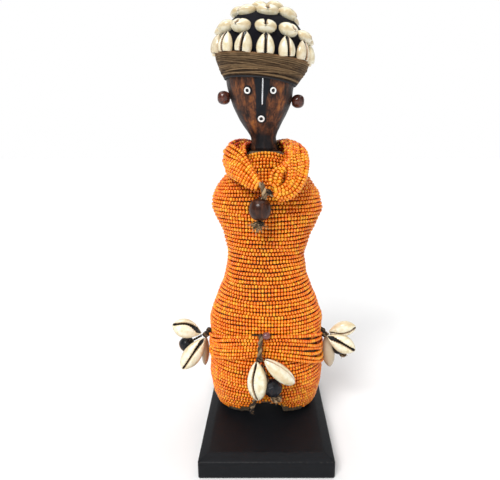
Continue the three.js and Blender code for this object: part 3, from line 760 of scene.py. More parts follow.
def belt_strands():
    """Seven strands round the hips, drawn together where the front tie crosses them."""
    soup = Soup()
    angle = np.linspace(-math.pi, math.pi, 421)
    tie = -0.105
    strands = 7
    for index in range(strands):
        rank = index - (strands - 1) / 2
        side = np.sin(angle) ** 2
        spread = 1 + np.where(angle > 0, 0.38, -0.10) * side
        near_tie = np.exp(-(((angle - tie) / 0.24) ** 2))
        level = belt_level(angle) + rank * 2.34 * spread * (1 - 0.20 * near_tie)
        level += 0.6 * np.sin(3 * angle + 1.9 * index) * side + 0.35 * np.sin(7 * angle + 2.4 * index) * side
        outs = body_out(angle, level)
        parity = 0.45 if index % 2 else -0.25
        lift = 0.65 + 0.2 * np.sin(4 * angle + 2.2 * index) - 0.4 * near_tie + parity * near_tie - 0.35 * side
        line = body_point(angle, level) + outs * lift[:, None]
        string_on(soup, line, outs, tint_shift=rng.uniform(-0.1, 0.15))
    soup.piece("bead_belt_strands", seed_glaze, ROOT, "orange_seed_beads", ("bead_belt",))


def off_the_body(points, clear):
    """Moves points out sideways until they are clear of the beaded body and of the neck."""
    p = points.copy()
    for lines, low, high in ((body_lines, 100, NECKLINE + 0.5), (head_lines, NECKLINE, 206)):
        inside = (p[:, 2] > low) & (p[:, 2] <= high)
        half_width, half_depth = section(lines, p[:, 2])[:2]
        middle = middle_at(p[:, 2])
        offset = p[:, :2] - middle
        reach = np.hypot(offset[:, 0] / (half_width + clear), offset[:, 1] / (half_depth + clear))
        push = inside & (reach < 1)
        p[push, :2] = middle[push] + offset[push] / np.maximum(reach[push, None], 0.05)
    return p


def fan(soup, routes, strands, layers, shade):
    """Strands spread between key routes, with more of them in layers underneath."""
    routes = np.asarray(routes, float)
    keys = np.linspace(0, 1, len(routes))
    for layer in range(layers):
        in_layer = strands - layer
        for index in range(in_layer):
            rank = (index + 0.5 * layer) / max(1, strands - 1)
            route = np.stack([[np.interp(rank, keys, routes[:, p, axis]) for axis in range(3)]
                              for p in range(routes.shape[1])])
            line = spline(route, 110)
            share = np.linspace(0, 1, len(line))
            middle = middle_at(line[:, 2])
            away = np.concatenate([line[:, :2] - middle, np.full((len(line), 1), 2.5)], -1)
            outs = unit(away)
            loose = np.sin(share * math.pi)
            sway = 0.45 * np.sin(share * 8 + index * 2.3 + layer) * loose
            stagger = (0.8 if index % 2 else -0.6) * (1 - loose**2)
            line = line + outs * (sway + stagger - 2.1 * layer * loose**0.5)[:, None]
            line[:, 2] += 0.35 * np.sin(share * 11 + index * 1.3) * loose
            line = off_the_body(line, 1.25)
            string_on(soup, line, outs, BEAD_PITCH * 1.02, scale=1.06, tint_shift=shade)


def necklace():
    """Two bunches of strands that pass behind the neck and are drawn together by the pendant's knot."""
    left, right = Soup(), Soup()
    fan(left, [
        [(-1, 17.5, 186), (-9, 15, 187.2), (-16.5, 7.5, 188), (-21.5, -1, 186.2), (-19.5, -9, 184.4),
         (-14, -15.5, 180.5), (-9.5, -19.5, 174.5), (-5.4, -22.6, 168), (-3.6, -23.8, 164.8)],
        [(-1, 20.5, 181.8), (-11, 16.5, 183.3), (-20, 8.5, 183), (-24.9, -2, 180), (-22.6, -10.5, 178.5),
         (-16.5, -16.5, 176.3), (-10.5, -20.8, 172), (-6.2, -23, 167), (-4, -24.2, 163.9)],
        [(-1, 22.5, 177.6), (-12, 17, 178.8), (-21, 8, 176.8), (-24.6, -4, 173.6), (-21.5, -13, 172.6),
         (-16, -18.8, 171), (-10.8, -22.2, 168), (-7, -24, 165), (-4.4, -24.8, 162.8)],
        [(-1, 24, 173.5), (-12, 17, 174.5), (-20, 5, 171.6), (-21.7, -7.5, 168.8), (-18.5, -16.5, 167),
         (-14.5, -21, 165), (-10.6, -23.4, 163), (-7.4, -24.6, 161.8), (-5, -24.8, 161.6)],
    ], 9, 3, 0.05)
    # Strands close to the neck: a lower tint paints them darker, as shade.
    fan(left, [
        [(-1, 16.5, 184.5), (-7, 12.5, 185.8), (-11.8, 4, 186.3), (-13.4, -5, 184), (-12.6, -11, 180.5)],
        [(-1, 18.5, 180), (-9, 13, 181), (-15, 4, 180.5), (-16.5, -5.5, 178), (-14.5, -11.5, 175.5)],
    ], 4, 1, -0.1)
    fan(right, [
        [(-1, 24, 173.5), (9, 20.5, 178.5), (17.8, 9.5, 184.2), (22.4, -3, 183), (24.3, -9, 176),
         (22.8, -15.5, 167.8), (19.4, -20.5, 161.7), (13.9, -23.7, 156.9), (7.4, -24.6, 155.5),
         (3.4, -24.6, 158.2)],
        [(-1, 20.5, 180.5), (8.5, 16.5, 184.6), (15.6, 6.5, 187), (17.8, -5.5, 184.2), (18, -12, 178.6),
         (19.2, -15.5, 173.4), (17.7, -19, 167.3), (14.2, -22.6, 162), (9.4, -24.9, 159.5),
         (4.4, -25, 159.4)],
        [(-1, 17.5, 186), (7, 13.5, 187.5), (12.2, 4, 188), (13.6, -6.5, 185.6), (12.2, -14.5, 181),
         (12.2, -19, 175), (12.3, -21.8, 170), (11.2, -23.8, 165.8), (8, -25.3, 162.4), (4, -25.4, 161)],
    ], 8, 3, 0.14)
    fan(right, [
        [(14, -11, 181.8), (11.8, -15.8, 178.2), (9, -18.4, 174.8), (5.6, -20.2, 172.3), (2.9, -21.6, 169.6),
         (2.2, -23, 166.5), (2.4, -24.2, 163.6)],
        [(14, -11.8, 181.5), (13, -16.2, 178.5), (11.2, -19.4, 175), (8.9, -21.6, 171.4), (7.6, -23.2, 167.8),
         (6.8, -24.4, 164.4), (4.2, -25.2, 162)],
    ], 3, 2, 0.14)
    # Strands close to the neck: a lower tint paints them darker, as shade.
    fan(right, [
        [(-1, 16.5, 184.5), (7, 12, 186), (11.2, 4, 186.3), (12.4, -5, 183.5), (12, -10.5, 179.5)],
        [(-1, 18.5, 180), (9, 13, 181), (14, 4, 181), (15.2, -5, 179), (14, -10.5, 176)],
    ], 4, 1, -0.1)
    left.piece("bead_necklace_left", seed_glaze, ROOT, "orange_seed_beads", ("bead_necklace",))
    right.piece("bead_necklace_right", seed_glaze, ROOT, "orange_seed_beads")


# ---- figure, cloth and plinth ----------------------------------------------------------------------------
def painted_places(points):
    """What the wood's paint needs at each point: arc from the ridge, height and turn sideways."""
    plain = turn_hat(points, -ramp(points[:, 2], *LEAN_HEIGHTS))
    middle = middle_at(plain[:, 2])
    half_width, half_depth, _ = section(head_lines, plain[:, 2])
    angle = np.arctan2((plain[:, 0] - middle[:, 0]) / half_width, (middle[:, 1] - plain[:, 1]) / half_depth)
    facing = np.where(np.abs(angle) < math.pi / 2, np.cos(angle), 0)
    return np.stack([angle * (half_width + half_depth) / 2, plain[:, 2], 1 - facing], -1)


def carved_figure():
    """The whole carving: the body under its cloth, the neck, the face and the crown inside the cap."""
    angle = round_angles(160)
    low = np.concatenate([np.arange(SOLE, 34, 1.5), np.arange(34, 176, 6), np.arange(176, NECKLINE + 0.1, 1)])
    high = np.concatenate([np.arange(183, 226, 0.7), np.arange(226, 252.1, 2)])
    body = body_point(angle[None], low[:, None], -WOOD_DEPTH)
    head = head_point(angle[None], high[:, None])
    marks = 0.10 * np.sin(angle[None] * 7 + high[:, None] * 0.35)
    marks += 0.07 * np.sin(angle[None] * 13 - high[:, None] * 0.5)
    head += unit(np.stack([np.sin(angle), -np.cos(angle), 0 * angle], -1))[None] * marks[..., None]
    crown = turn_hat(np.array([[[HEAD_MIDDLE[0], HEAD_MIDDLE[1], CROWN_TOP]]])
                     + round_place(np.array([[4.0]]), angle[None], np.array([[-0.6]])))
    figure = closed(Soup(), np.concatenate([body, head, crown])).piece(
        "carved_figure", carved_wood, ROOT, "carved_wood", ("wood_figure",))
    t = np.linspace(0, math.pi, 33)
    outline = np.stack([LEG_GAP_HALF * np.cos(t), (LEG_GAP_TOP - SOLE) * np.sin(t) + SOLE], -1)
    outline = np.vstack([[LEG_GAP_HALF, -2], outline, [-LEG_GAP_HALF, -2]])
    past_feet = 45.0
    ends = [np.stack([outline[:, 0] + BODY_MIDDLE[0], np.full(len(outline), y), outline[:, 1]], -1)
            for y in (-past_feet, past_feet)]
    cutter = closed(Soup(), np.array(ends), flip=True).piece("arch_cutter", carved_wood, ROOT, "carved_wood")
    cut = figure.modifiers.new("arch", "BOOLEAN")
    cut.operation, cut.object, cut.solver = "DIFFERENCE", cutter, "EXACT"
    bpy.context.view_layer.update()
    shaped = bpy.data.meshes.new_from_object(figure.evaluated_get(bpy.context.evaluated_depsgraph_get()))
    figure.modifiers.clear()
    figure.data = shaped
    bpy.data.objects.remove(cutter)
    points = np.array([v.co for v in shaped.vertices]) / MM
    shaped.attributes["look"].data.foreach_set("vector", painted_places(points).astype(np.float32).ravel())


def cloth_cover():
    """The cloth under the beads, which shows as a hem round the feet and over the arch."""
    angle = round_angles(224)
    half_width = section(body_lines, 18.0)[0] - CLOTH_DEPTH
    across = half_width * np.sin(angle) / (LEG_GAP_HALF + 0.1)
    arch = SOLE + (LEG_GAP_TOP - SOLE) * np.sqrt(np.clip(1 - across**2, 0, 1))
    bottom = np.maximum(arch, SOLE + 0.15) + 0.12 * np.sin(angle * 23) + 0.1
    share = np.concatenate([np.linspace(0, 0.12, 12), np.linspace(0.14, 1, 60)])[:, None]
    height = bottom[None] * (1 - share) + (NECKLINE - 0.3) * share
    swell = 0.9 * smoothstep(height, 20, 13)
    swell += 0.22 * np.sin(angle[None] * 31 + height) * smoothstep(height, 24, 14)
    outer = body_point(angle[None], height, -CLOTH_DEPTH + swell)
    inner = body_point(angle[None], height, -CLOTH_DEPTH + swell - CLOTH_THICKNESS)
    grid = np.concatenate([outer, inner[::-1]])
    look = looks_on(grid.shape[:2], angle * 30, grid[..., 2], 0)
    soup = ring_body(Soup(), grid, look)
    made = soup.piece("cloth_cover_cloth", brown_cloth, ROOT, "brown_cloth", ("cloth_cover",))


def plinth():
    """A block with bevelled shoulders, every edge softly rounded."""
    w, d, b = BASE_WIDTH / 2, BASE_DEPTH / 2, BASE_BEVEL

    def ring(inset, height, corner):
        points = []
        for sx, sy, start in ((1, 1, 0), (-1, 1, 90), (-1, -1, 180), (1, -1, 270)):
            for step in np.linspace(0, 90, 5):
                turn = math.radians(start + step)
                points.append([sx * (w - inset - corner) + corner * math.cos(turn),
                               sy * (d - inset - corner) + corner * math.sin(turn), height])
        return points

    rise = (BASE_HEIGHT - BASE_EDGE) / b
    levels = [
        (0.6, 0.0, 1.0, 0.3), (0.15, 0.18, 1.2, 1), (0.0, 0.6, 1.3, 0.7), (0.0, 2.5, 1.3, 0), (0, 8, 1.3, 0),
        (0.0, BASE_EDGE - 0.6, 1.3, 0.6), (0.2, BASE_EDGE - 0.1, 1.3, 1), (0.75, BASE_EDGE + 0.2, 1.3, 0.6),
        (2, BASE_EDGE + 2 * rise, 1.3, 0), (b - 1.0, BASE_HEIGHT - 0.35, 1.3, 0.2),
        (b - 0.2, BASE_HEIGHT - 0.06, 1.3, 0.8), (b + 0.6, BASE_HEIGHT, 1.3, 0.5),
        (b + 3, BASE_HEIGHT, 1.2, 0), (b + 20, BASE_HEIGHT, 1.0, 0),
    ]
    grid = np.array([ring(inset, height, corner) for inset, height, corner, _ in levels])
    wear = np.array(levels)[:, 3:]
    look = looks_on(grid.shape[:2], wear, 0, 0)
    closed(Soup(), grid, look).piece("plinth_block", plinth_paint, ROOT, "black_plinth_paint", ("plinth",))


# ---- cowrie shells ---------------------------------------------------------------------------------------
def cowrie(soup, frame_rows, origin, length, width, front, back, slit=0.05, bend=0.0, open_root=0.0,
           open_tip=0.0, teeth=13, tan=0.0, rings=56, notch=1.0, cut=1.0, blunt=0.72, top_notch=False):
    """A shell from its narrow end at the origin, along Z, with its toothed slit towards -Y.

    slit is the slit's half-width as a share of the shell's width, bend carries the slit to one side,
    open_root and open_tip widen it towards an end, and cut ends the shell flat before its wide end.
    """
    t = (1 - np.cos(np.linspace(0.06, math.pi - 0.05, rings))) / 2 * cut
    swell = np.maximum(0.03, np.sin(math.pi * t**1.22)) ** blunt
    half = swell * width / 2
    centre = bend * width * np.sin(math.pi * t) ** 1.5
    bite = np.abs(((t * teeth) % 1.0) - 0.5) * 2
    toothed = 1 - 0.42 * bite * smoothstep(t, 0.12, 0.22) * smoothstep(t, 0.92, 0.84)
    gape = 1 + open_root * smoothstep(t, 0.6, 0.1) + open_tip * smoothstep(t, 0.4, cut)
    key = 1 + 0.9 * notch * np.exp(-(((t - 0.93) / 0.035) ** 2))
    key += 0.5 * notch * np.exp(-(((t - 0.07) / 0.03) ** 2))
    s = np.minimum(slit * width * toothed * gape * key, half * 0.5)
    closing = 1 if top_notch else smoothstep(t, 0.0, 0.03)
    s = s * closing * (1 if cut < 1 else smoothstep(t, 1.0, 0.975)) + 0.02
    lip = np.minimum(0.085 * width, (half - s) * 0.4)
    depth = 0.55 * (front + back) * swell
    inner = [(0, 1.0), (0.55, 1.0), (0.92, 0.86), (1.0, 0.5)]
    edge = [(0.15, 0.26), (0.42, 0.10), (0.72, 0.025), (1.0, 0.0)]
    turns = np.linspace(0, math.pi / 2, 9)[1:]

    def half_ring(side):
        xs, ys, looks = [], [], []

        def put(x, sunk, slit_look):
            inside = np.clip(np.abs(x) / half, 0, 1)
            y = -front * swell * (1 - inside**2.3) ** 0.5
            xs.append(x)
            ys.append(y + sunk * depth)
            looks.append((np.full(rings, slit_look), inside**3))

        for share, sunk in inner:
            put(centre + side * s * share, sunk, sunk)
        for share, sunk in edge:
            put(centre + side * (s + lip * share), sunk, sunk * 0.9)
        start = side * (centre + side * (s + lip))
        for turn in turns:
            x = start + (half - start) * np.sin(turn)
            put(side * x, 0.0, 0.0)
        for turn in np.linspace(0, math.pi / 2, 8)[1:]:
            x = half * np.cos(turn)
            xs.append(side * x)
            ys.append(back * swell * np.sin(turn) ** 0.9)
            looks.append((np.zeros(rings), np.full(rings, max(0.0, 1 - turn * 1.4))))
        return xs, ys, looks

    rx, ry, rl = half_ring(1)
    lx, ly, ll = half_ring(-1)
    xs = np.array(rx + lx[-2:0:-1])
    ys = np.array(ry + ly[-2:0:-1])
    looks = rl + ll[-2:0:-1]
    local = np.stack([xs.T, ys.T, np.broadcast_to((t * length)[:, None], xs.T.shape)], -1)
    slit_look, rim_look = np.array(looks).transpose(1, 2, 0)
    closed(soup, origin + local @ frame_rows, looks_on(xs.T.shape, slit_look, rim_look, tan))


CAP_OUTLINE = [(25.2, 5.8), (25.2, 11), (23.4, 18), (18.8, 25), (11, 30.2), (0, 32.4)]
cap_line = spline(CAP_OUTLINE, 200)


def cap_spot(share, angle, lift):
    """A frame on the cap with Z up along its meridian and -Y out of the cloth."""
    run = np.linspace(0, 1, len(cap_line))

    def at(s, a):
        s = min(max(s, 0), 1)
        reach, height = (np.interp(s, run, column) for column in cap_line.T)
        return hat_point(reach, a, height)

    step = 0.01
    up = unit(at(share + step, angle) - at(share - step, angle))
    around = unit(at(share, angle + step) - at(share, angle - step))
    out = unit(np.cross(around, up))
    return at(share, angle) + out * lift, up, out


def cowrie_on_hat(soup, rows, origin, *sizes, **looks):
    """A shell whose frame is given in the hat's own directions."""
    cowrie(soup, hat_frame(rows) - hat_frame([0, 0, 0]), hat_frame(origin), *sizes, **looks)


def cap_shell(soup, share, angle, length, width, front, back, lean=0.0, **looks):
    """A shell on the cap with its wide end down. lean turns it on the cloth."""
    place, up, out = cap_spot(share, angle, back + 0.3)
    side = np.cross(up, out)
    along = unit(-up * math.cos(lean) + side * math.sin(lean))
    rows, origin = frame_along(place - along * length / 2, along, out)
    cowrie_on_hat(soup, rows, origin, length, width, front, back, **looks)


def sewn_on_end(soup, angle, reach, height, droop, length, width, front, back, turn, **looks):
    """A shell that points out from the cap, its wide end at reach and height and its slit on top."""
    tip = hat_point(reach, angle, height)
    heading = np.array([math.sin(angle + turn), -math.cos(angle + turn), 0.0])
    along = unit(heading * math.cos(droop) - np.array([0, 0, math.sin(droop)]))
    rows, origin = frame_along(tip - along * length, along, np.array([0, 0, 1.0]))
    cowrie_on_hat(soup, rows, origin, length, width, front, back, **looks)


def cap_shells():
    low = 14
    for index in range(low):
        soup = Soup()
        angle = 2 * math.pi * index / low + 0.06
        lean = 0.09 * math.sin(index * 2.3) + 0.10 * math.sin(angle + 0.4)
        cap_shell(soup, 0.082, angle, 12.8, 9.9, 3.9, 0.9, lean, slit=0.062, teeth=13, rings=48, cut=0.78,
                  blunt=0.42, open_root=0.3, open_tip=0.35, top_notch=True, tan=0.16 + 0.16 * (index % 3),
                  bend=0.03 * math.sin(index * 1.7))
        name = f"cap_shell_{index + 1:02d}"
        soup.piece(f"{name}_cowrie", enamel, ROOT, "cowrie_shell", (name,))
    rows = [
        ("cap_shells_second_row", 11, 0.03, 29.0, 18.2, 0.20, 12.2, 11.8, 3.2, 4.0),
        ("cap_shells_third_row", 7, 0.05, 20.4, 27.8, 0.20, 12.4, 12.6, 3.0, 3.6),
        ("cap_shells_top", 3, math.pi / 3, 10.4, 33.0, 0.05, 11.5, 10.6, 2.8, 3.2),
    ]
    for name, count, start, reach, height, droop, length, width, front, back in rows:
        soup = Soup()
        for index in range(count):
            angle = start + 2 * math.pi * index / count
            out, up = reach + 0.5 * math.sin(index * 2.7), height + 0.5 * math.cos(index * 1.3)
            sewn_on_end(soup, angle, out, up, droop + 0.06 * math.sin(index * 1.7), length, width, front,
                        back, 0.16 * math.sin(index * 1.9), slit=0.045, notch=1.3, teeth=9, rings=48,
                        blunt=0.6, tan=0.05 + 0.06 * (index % 4), bend=0.03 * math.cos(index * 2.1))
        soup.piece(f"{name}_cowries", enamel, ROOT, "cowrie_shell", (name,))


# ---- cap and band ----------------------------------------------------------------------------------------
def cap():
    angle = round_angles(144)
    outline = np.vstack([[(22.6, -0.2), (24.6, 3.4)], cap_line[::5], cap_line[-1:] + [[0.001, 0]]])
    outline[-1, 0] = 0.05
    run = lengths_along(outline)
    pucker = 0.22 * np.sin(angle[None] * 11 + run[:, None] * 0.35) * np.sin(run[:, None] * 0.22)
    reach = outline[:, :1] + pucker * ramp(outline[:, :1], 0, 8)
    outer = hat_point(reach, angle[None], outline[:, 1:])
    inner = hat_point(np.maximum(reach - 1.1, 0.03), angle[None],
                      outline[:, 1:] - 1.0 * smoothstep(outline[:, :1], 25, 12))
    grid = hat_frame(np.concatenate([outer, inner[::-1]]))
    along = np.concatenate([run, run[::-1]])
    look = looks_on(grid.shape[:2], angle * 22, along[:, None], 0)
    made = ring_body(Soup(), grid, look).piece("cap_cloth_dome", cap_cloth, ROOT, "black_cap_cloth", ("cap",))


def band_arch(angle):
    """How far the band's lower edge rises over the face."""
    return 1.1 * np.clip(np.cos(angle), 0, 1) ** 2


def headband():
    """Twine wound round and round, a few turns crossing over the rest."""
    line = spline([(21.7, -6.4), (23.6, -3.2), (25.4, 0), (26.8, 3), (27.5, 5.8)], 200)
    turns, per_turn = 27, 5
    angle = round_angles(240)
    arched = band_arch(angle)
    run = np.linspace(0, 1, len(line))
    rows, shades, tops = [], [], []
    for turn in range(turns):
        shade = rng.uniform(0, 1)
        wobble = 0.13 * np.sin(angle * 3 + turn * 2.1) + 0.08 * np.sin(angle * 8 + turn)
        for step in range(per_turn):
            phase = step / (per_turn - 1)
            share = (turn + 0.04 + 0.92 * phase) / turns
            reach, height = (np.interp(share, run, column) for column in line.T)
            bulge = 0.34 * math.sqrt(max(0, 1 - (2 * phase - 1) ** 2)) - 0.30
            level = height + wobble * 0.5 + arched * (1 - share)
            rows.append(hat_point(reach + bulge + wobble * 0.4, angle, level))
            shades.append(shade)
            tops.append(share)
    inside = [(25.9, 5.8), (24.4, 3), (22.9, 0), (21.6, -3.2), (20.4, -6.4)]
    for share, (reach, height) in zip((1, 0.75, 0.5, 0.25, 0), inside):
        rows.append(hat_point(reach, angle, height + arched * (1 - share)))
        shades.append(0.1)
        tops.append(0.0)
    grid = hat_frame(np.array(rows))
    look = looks_on(grid.shape[:2], angle * 25, np.array(shades)[:, None], np.array(tops)[:, None])
    soup = ring_body(Soup(), grid, look)
    crossings = 16
    for index in range(crossings):
        begin = -math.pi + 2 * math.pi * index / crossings + rng.uniform(-0.2, 0.2)
        span = rng.uniform(0.9, 1.6)
        low = rng.uniform(0.05, 0.6)
        share = np.linspace(low, low + rng.uniform(0.12, 0.3), 60)
        swing = np.linspace(begin, begin + span, 60) * (1 if index % 2 else -1)
        reach, height = (np.interp(share, run, column) for column in line.T)
        edge = 0.35 * np.sin(np.linspace(0, math.pi, 60)) ** 0.4 - 0.25
        lifted = height + band_arch(swing) * (1 - share)
        strand = hat_frame(hat_point(reach + edge + 0.05, swing, lifted))
        tube(soup, strand, 0.25)
        added = len(soup.looks[-1])
        soup.looks[-1] = looks_on(added, np.linspace(0, 40, added), rng.uniform(0.5, 1.0), 0)
    soup.piece("headband_wound_twine", band_twine, ROOT, "band_twine", ("headband",))
    cord = Soup()
    swing = np.linspace(-math.pi, math.pi, 160)
    level = -6.75 + 0.1 * np.sin(swing * 5) + band_arch(swing)
    loop = hat_frame(hat_point(20.9 + 0 * swing, swing, level))
    tube(cord, loop, 0.55, 8, 0.1)
    cord.piece("headband_lower_cord", thread_dark, ROOT, "black_cap_cloth")


# ---- face and ears ---------------------------------------------------------------------------------------
def face_frame(angle, height, lift):
    step = 0.03
    place = head_point(angle, height)
    sideways = head_point(angle + step, height) - head_point(angle - step, height)
    upwards = head_point(angle, height + 1) - head_point(angle, height - 1)
    out = unit(np.cross(sideways, upwards))
    return frame_along(place + out * lift, out, np.array([0, 0, -1.0]))


def bored(radius, half_length, bore, rings=14, power=0.5):
    """An outline of a bead with a bore through it."""
    share = np.linspace(-0.97, 0.97, rings)
    outline = [(bore + (radius - bore) * (1 - abs(s) ** 2.1) ** power, s * half_length) for s in share]
    lip = half_length * 0.97
    return [(bore + 0.15, -lip), *outline, (bore + 0.15, lip), (bore, lip * 0.9), (bore, -lip * 0.9)]


def face_details():
    bore = 0.95
    for name, angle, height, radius, _ in FACE_MARKS:
        rows, origin = face_frame(angle, height, 0.45)
        t = np.linspace(0, 2 * math.pi, 16, endpoint=False)
        middle = (radius + bore) / 2
        thick = (radius - bore) / 2
        outline = [(middle + thick * math.cos(a), 0.52 + 0.55 * math.sin(a)) for a in t]
        ring = origin + turned(outline, round_place, 40) @ rows
        ring_body(Soup(), ring).piece(
            f"{name}_white_ring", white_glass, ROOT, "white_glass", (f"{name}_ring",))
        dome = [(0.93 * math.cos(a), 0.3 + 0.4 * math.sin(a)) for a in np.linspace(0, 1.45, 8)]
        head = origin + turned([(0.6, 0.0), (0.93, 0.1), *dome], round_place, 24) @ rows
        closed(Soup(), head).piece(f"{name}_pin_head", nail_black, ROOT, "black_nail", (f"{name}_nail",))


def nose_strip():
    """A thin bright strip down the nose's ridge, its edges rolled over."""
    section_points = [(-0.5, 0.32), (-0.46, 0.02), (-0.3, -0.2), (0.0, -0.27), (0.3, -0.2), (0.46, 0.02),
                      (0.5, 0.32)]
    rings = []
    for share in np.linspace(0, 1, 30):
        x, height = -2.4 + 0.35 * share, 207.2 + 14.6 * share
        taper = 0.7 + 0.3 * ramp(share, 0, 0.4)
        turn = (x - head_point(0.0, height)[0]) / section(head_lines, height)[0]
        ridge = head_point(turn, height, 0.5)
        rings.append([[x + across * taper, ridge[1] + y, ridge[2]] for across, y in section_points])
    strip = closed(Soup(), np.array(rings))
    strip.piece("nose_bright_strip", strip_metal, ROOT, "silver_strip", ("nose_strip",))


def ears():
    lean = 0.046
    middle = np.array([HEAD_MIDDLE[0] - 0.1, 4.0, 211.5])
    along = np.array([math.cos(lean), 0, -math.sin(lean)])
    for name, side, reach in (("left_ear_bead", -1, 22.1), ("right_ear_bead", 1, 21.7)):
        rows, origin = frame_along(middle + along * side * reach, along, np.array([0, -1.0, 0]))
        grid = origin + turned(bored(3.9, 3.7, 1.05, 18), round_place, 40) @ rows
        ring_body(Soup(), grid).piece(f"{name}_polished", ear_polish, ROOT, "ear_bead_wood", (name,))
    wire = Soup()
    ends = [middle + along * reach for reach in (-25.5, 25.1)]
    tube(wire, evenly(np.array(ends), 24) + rng.normal(0, 0.03, (24, 3)), 0.55, 12)
    wire.piece("ear_wire_drawn", wire_metal, ROOT, "steel_wire", ("ear_wire",))


# ---- pendant, ties and bunches ---------------------------------------------------------------------------
def pendant():
    knot = Soup()
    wound_knot(knot, (0.4, -24.2, 159.6), (2.6, 2.2, 2.2), 3, 0.8, 0.1)
    loop = spline([(-4.6, -23.0, 163.2), (-3.0, -25.4, 164.2), (-1.9, -26.4, 162), (-1.2, -26.6, 159.2),
                   (-1.0, -25.8, 156.8), (-2.6, -24.4, 156.4)], 60)
    twisted(knot, loop, 1.5, pitch=5.2, tint=0.74)
    stray = spline([(1.0, -25.4, 158.6), (3.8, -25.8, 157.8), (6, -25.3, 158.5), (7.6, -25, 160.2)], 30)
    twisted(knot, stray, 0.5, tint=0.8)
    frayed(knot, (-2.2, -26, 163.4), (0.1, -0.5, 1), 2.4, 16, 0.5, 0.18, 0.6)
    knot.piece("pendant_wound_knot", twine, "pendant_tie", "waxed_twine", ("pendant_knot",))
    bead = Soup()
    grid = turned(bored(6.35, 6.2, 1.15, 26), round_place, 56) + np.array([-3.6, -24.4, 150.2])
    ring_body(bead, grid)
    bead.piece("pendant_polished_bead", pendant_polish, "pendant", "dark_polished_bead", ("pendant_bead",))
    cord = Soup()
    twisted(cord, evenly(np.array([[-3.6, -24.4, 156.9], [-3.6, -24.4, 142.2]]), 40), 0.8, tint=0.2)
    wound_knot(cord, (-3.9, -24.0, 142.2), (2.4, 2.0, 1.7), 3, 0.7, 0.15)
    for heading in ((-0.9, -0.4, -0.35), (-0.6, -0.6, -0.8), (-0.2, -0.9, -0.9), (0.3, -0.6, -0.9),
                    (0.8, -0.3, -0.6), (-0.3, -1.0, -0.1), (-0.4, 0.0, -1)):
        frayed(cord, (-5.0, -24.4, 142.4), heading, 5.8, 18, 0.34, 0.32, 0.78)
    cord.piece("pendant_frayed_cord", twine, "pendant", "waxed_twine", ("pendant_cord",))


def hanging_shell(name, body, root, tip, facing, width, plumpness=1.0, **looks):
    along = np.asarray(tip, float) - np.asarray(root, float)
    rows, origin = frame_along(root, along, np.asarray(facing, float))
    soup = Soup()
    looks = {"notch": 0.25, "blunt": 0.6, **looks}
    cowrie(soup, rows, origin, float(np.linalg.norm(along)), width, 0.3 * width * plumpness,
           0.4 * width * plumpness, rings=84, **looks)
    soup.piece(f"{name}_cowrie", enamel, body, "cowrie_shell", (name,))


def corded_bead(prefix, body, start, centre, radius, knot, faceted=False, rim=False, aside=(0, 0, 0)):
    start, centre = np.asarray(start, float), np.asarray(centre, float)
    along = unit(centre - start)
    rows, _ = frame_along(centre, along, np.array([0, -1.0, 0]))
    outline = bored(radius, radius * 0.92, 1.1, 6 if faceted else 16, 0.42)
    grid = centre + turned(outline, round_place, 9 if faceted else 40) @ rows
    made = ring_body(Soup(), grid).piece(f"{prefix}_bead_turned", horn_polish, body, "dark_polished_bead",
                                         (f"{prefix}_bead",), smooth=not faceted)
    if faceted:
        soften = made.modifiers.new("soften", "BEVEL")
        soften.width, soften.segments = 0.25 * MM, 2
    if rim:
        end = centre + along * radius * 0.62
        round_it = np.linspace(0, 2 * math.pi, 10, False)
        ring = [(3.75 + 0.5 * math.cos(a), 0.45 * math.sin(a)) for a in round_it]
        ring_body(Soup(), end + turned(ring, round_place, 30) @ rows).piece(
            f"{prefix}_bead_rim", rim_wood, body, "dark_polished_bead")
    cord = Soup()
    knot_place = centre + along * (radius + knot * 0.8) + np.asarray(aside, float)
    twisted(cord, evenly(np.array([start, knot_place - along * knot / 2]), 30), 0.8, tint=0.25)
    wound_knot(cord, knot_place, (knot * 0.9, knot * 0.8, knot * 0.8), 3, 0.7, 0.6)
    for _ in range(6):
        frayed(cord, knot_place, along + rng.normal(0, 0.9, 3), knot * 1.25, 10, 0.4, 0.3, 0.95)
    cord.piece(f"{prefix}_bead_twine", twine, body, "waxed_twine", (f"{prefix}_bead_cord",))


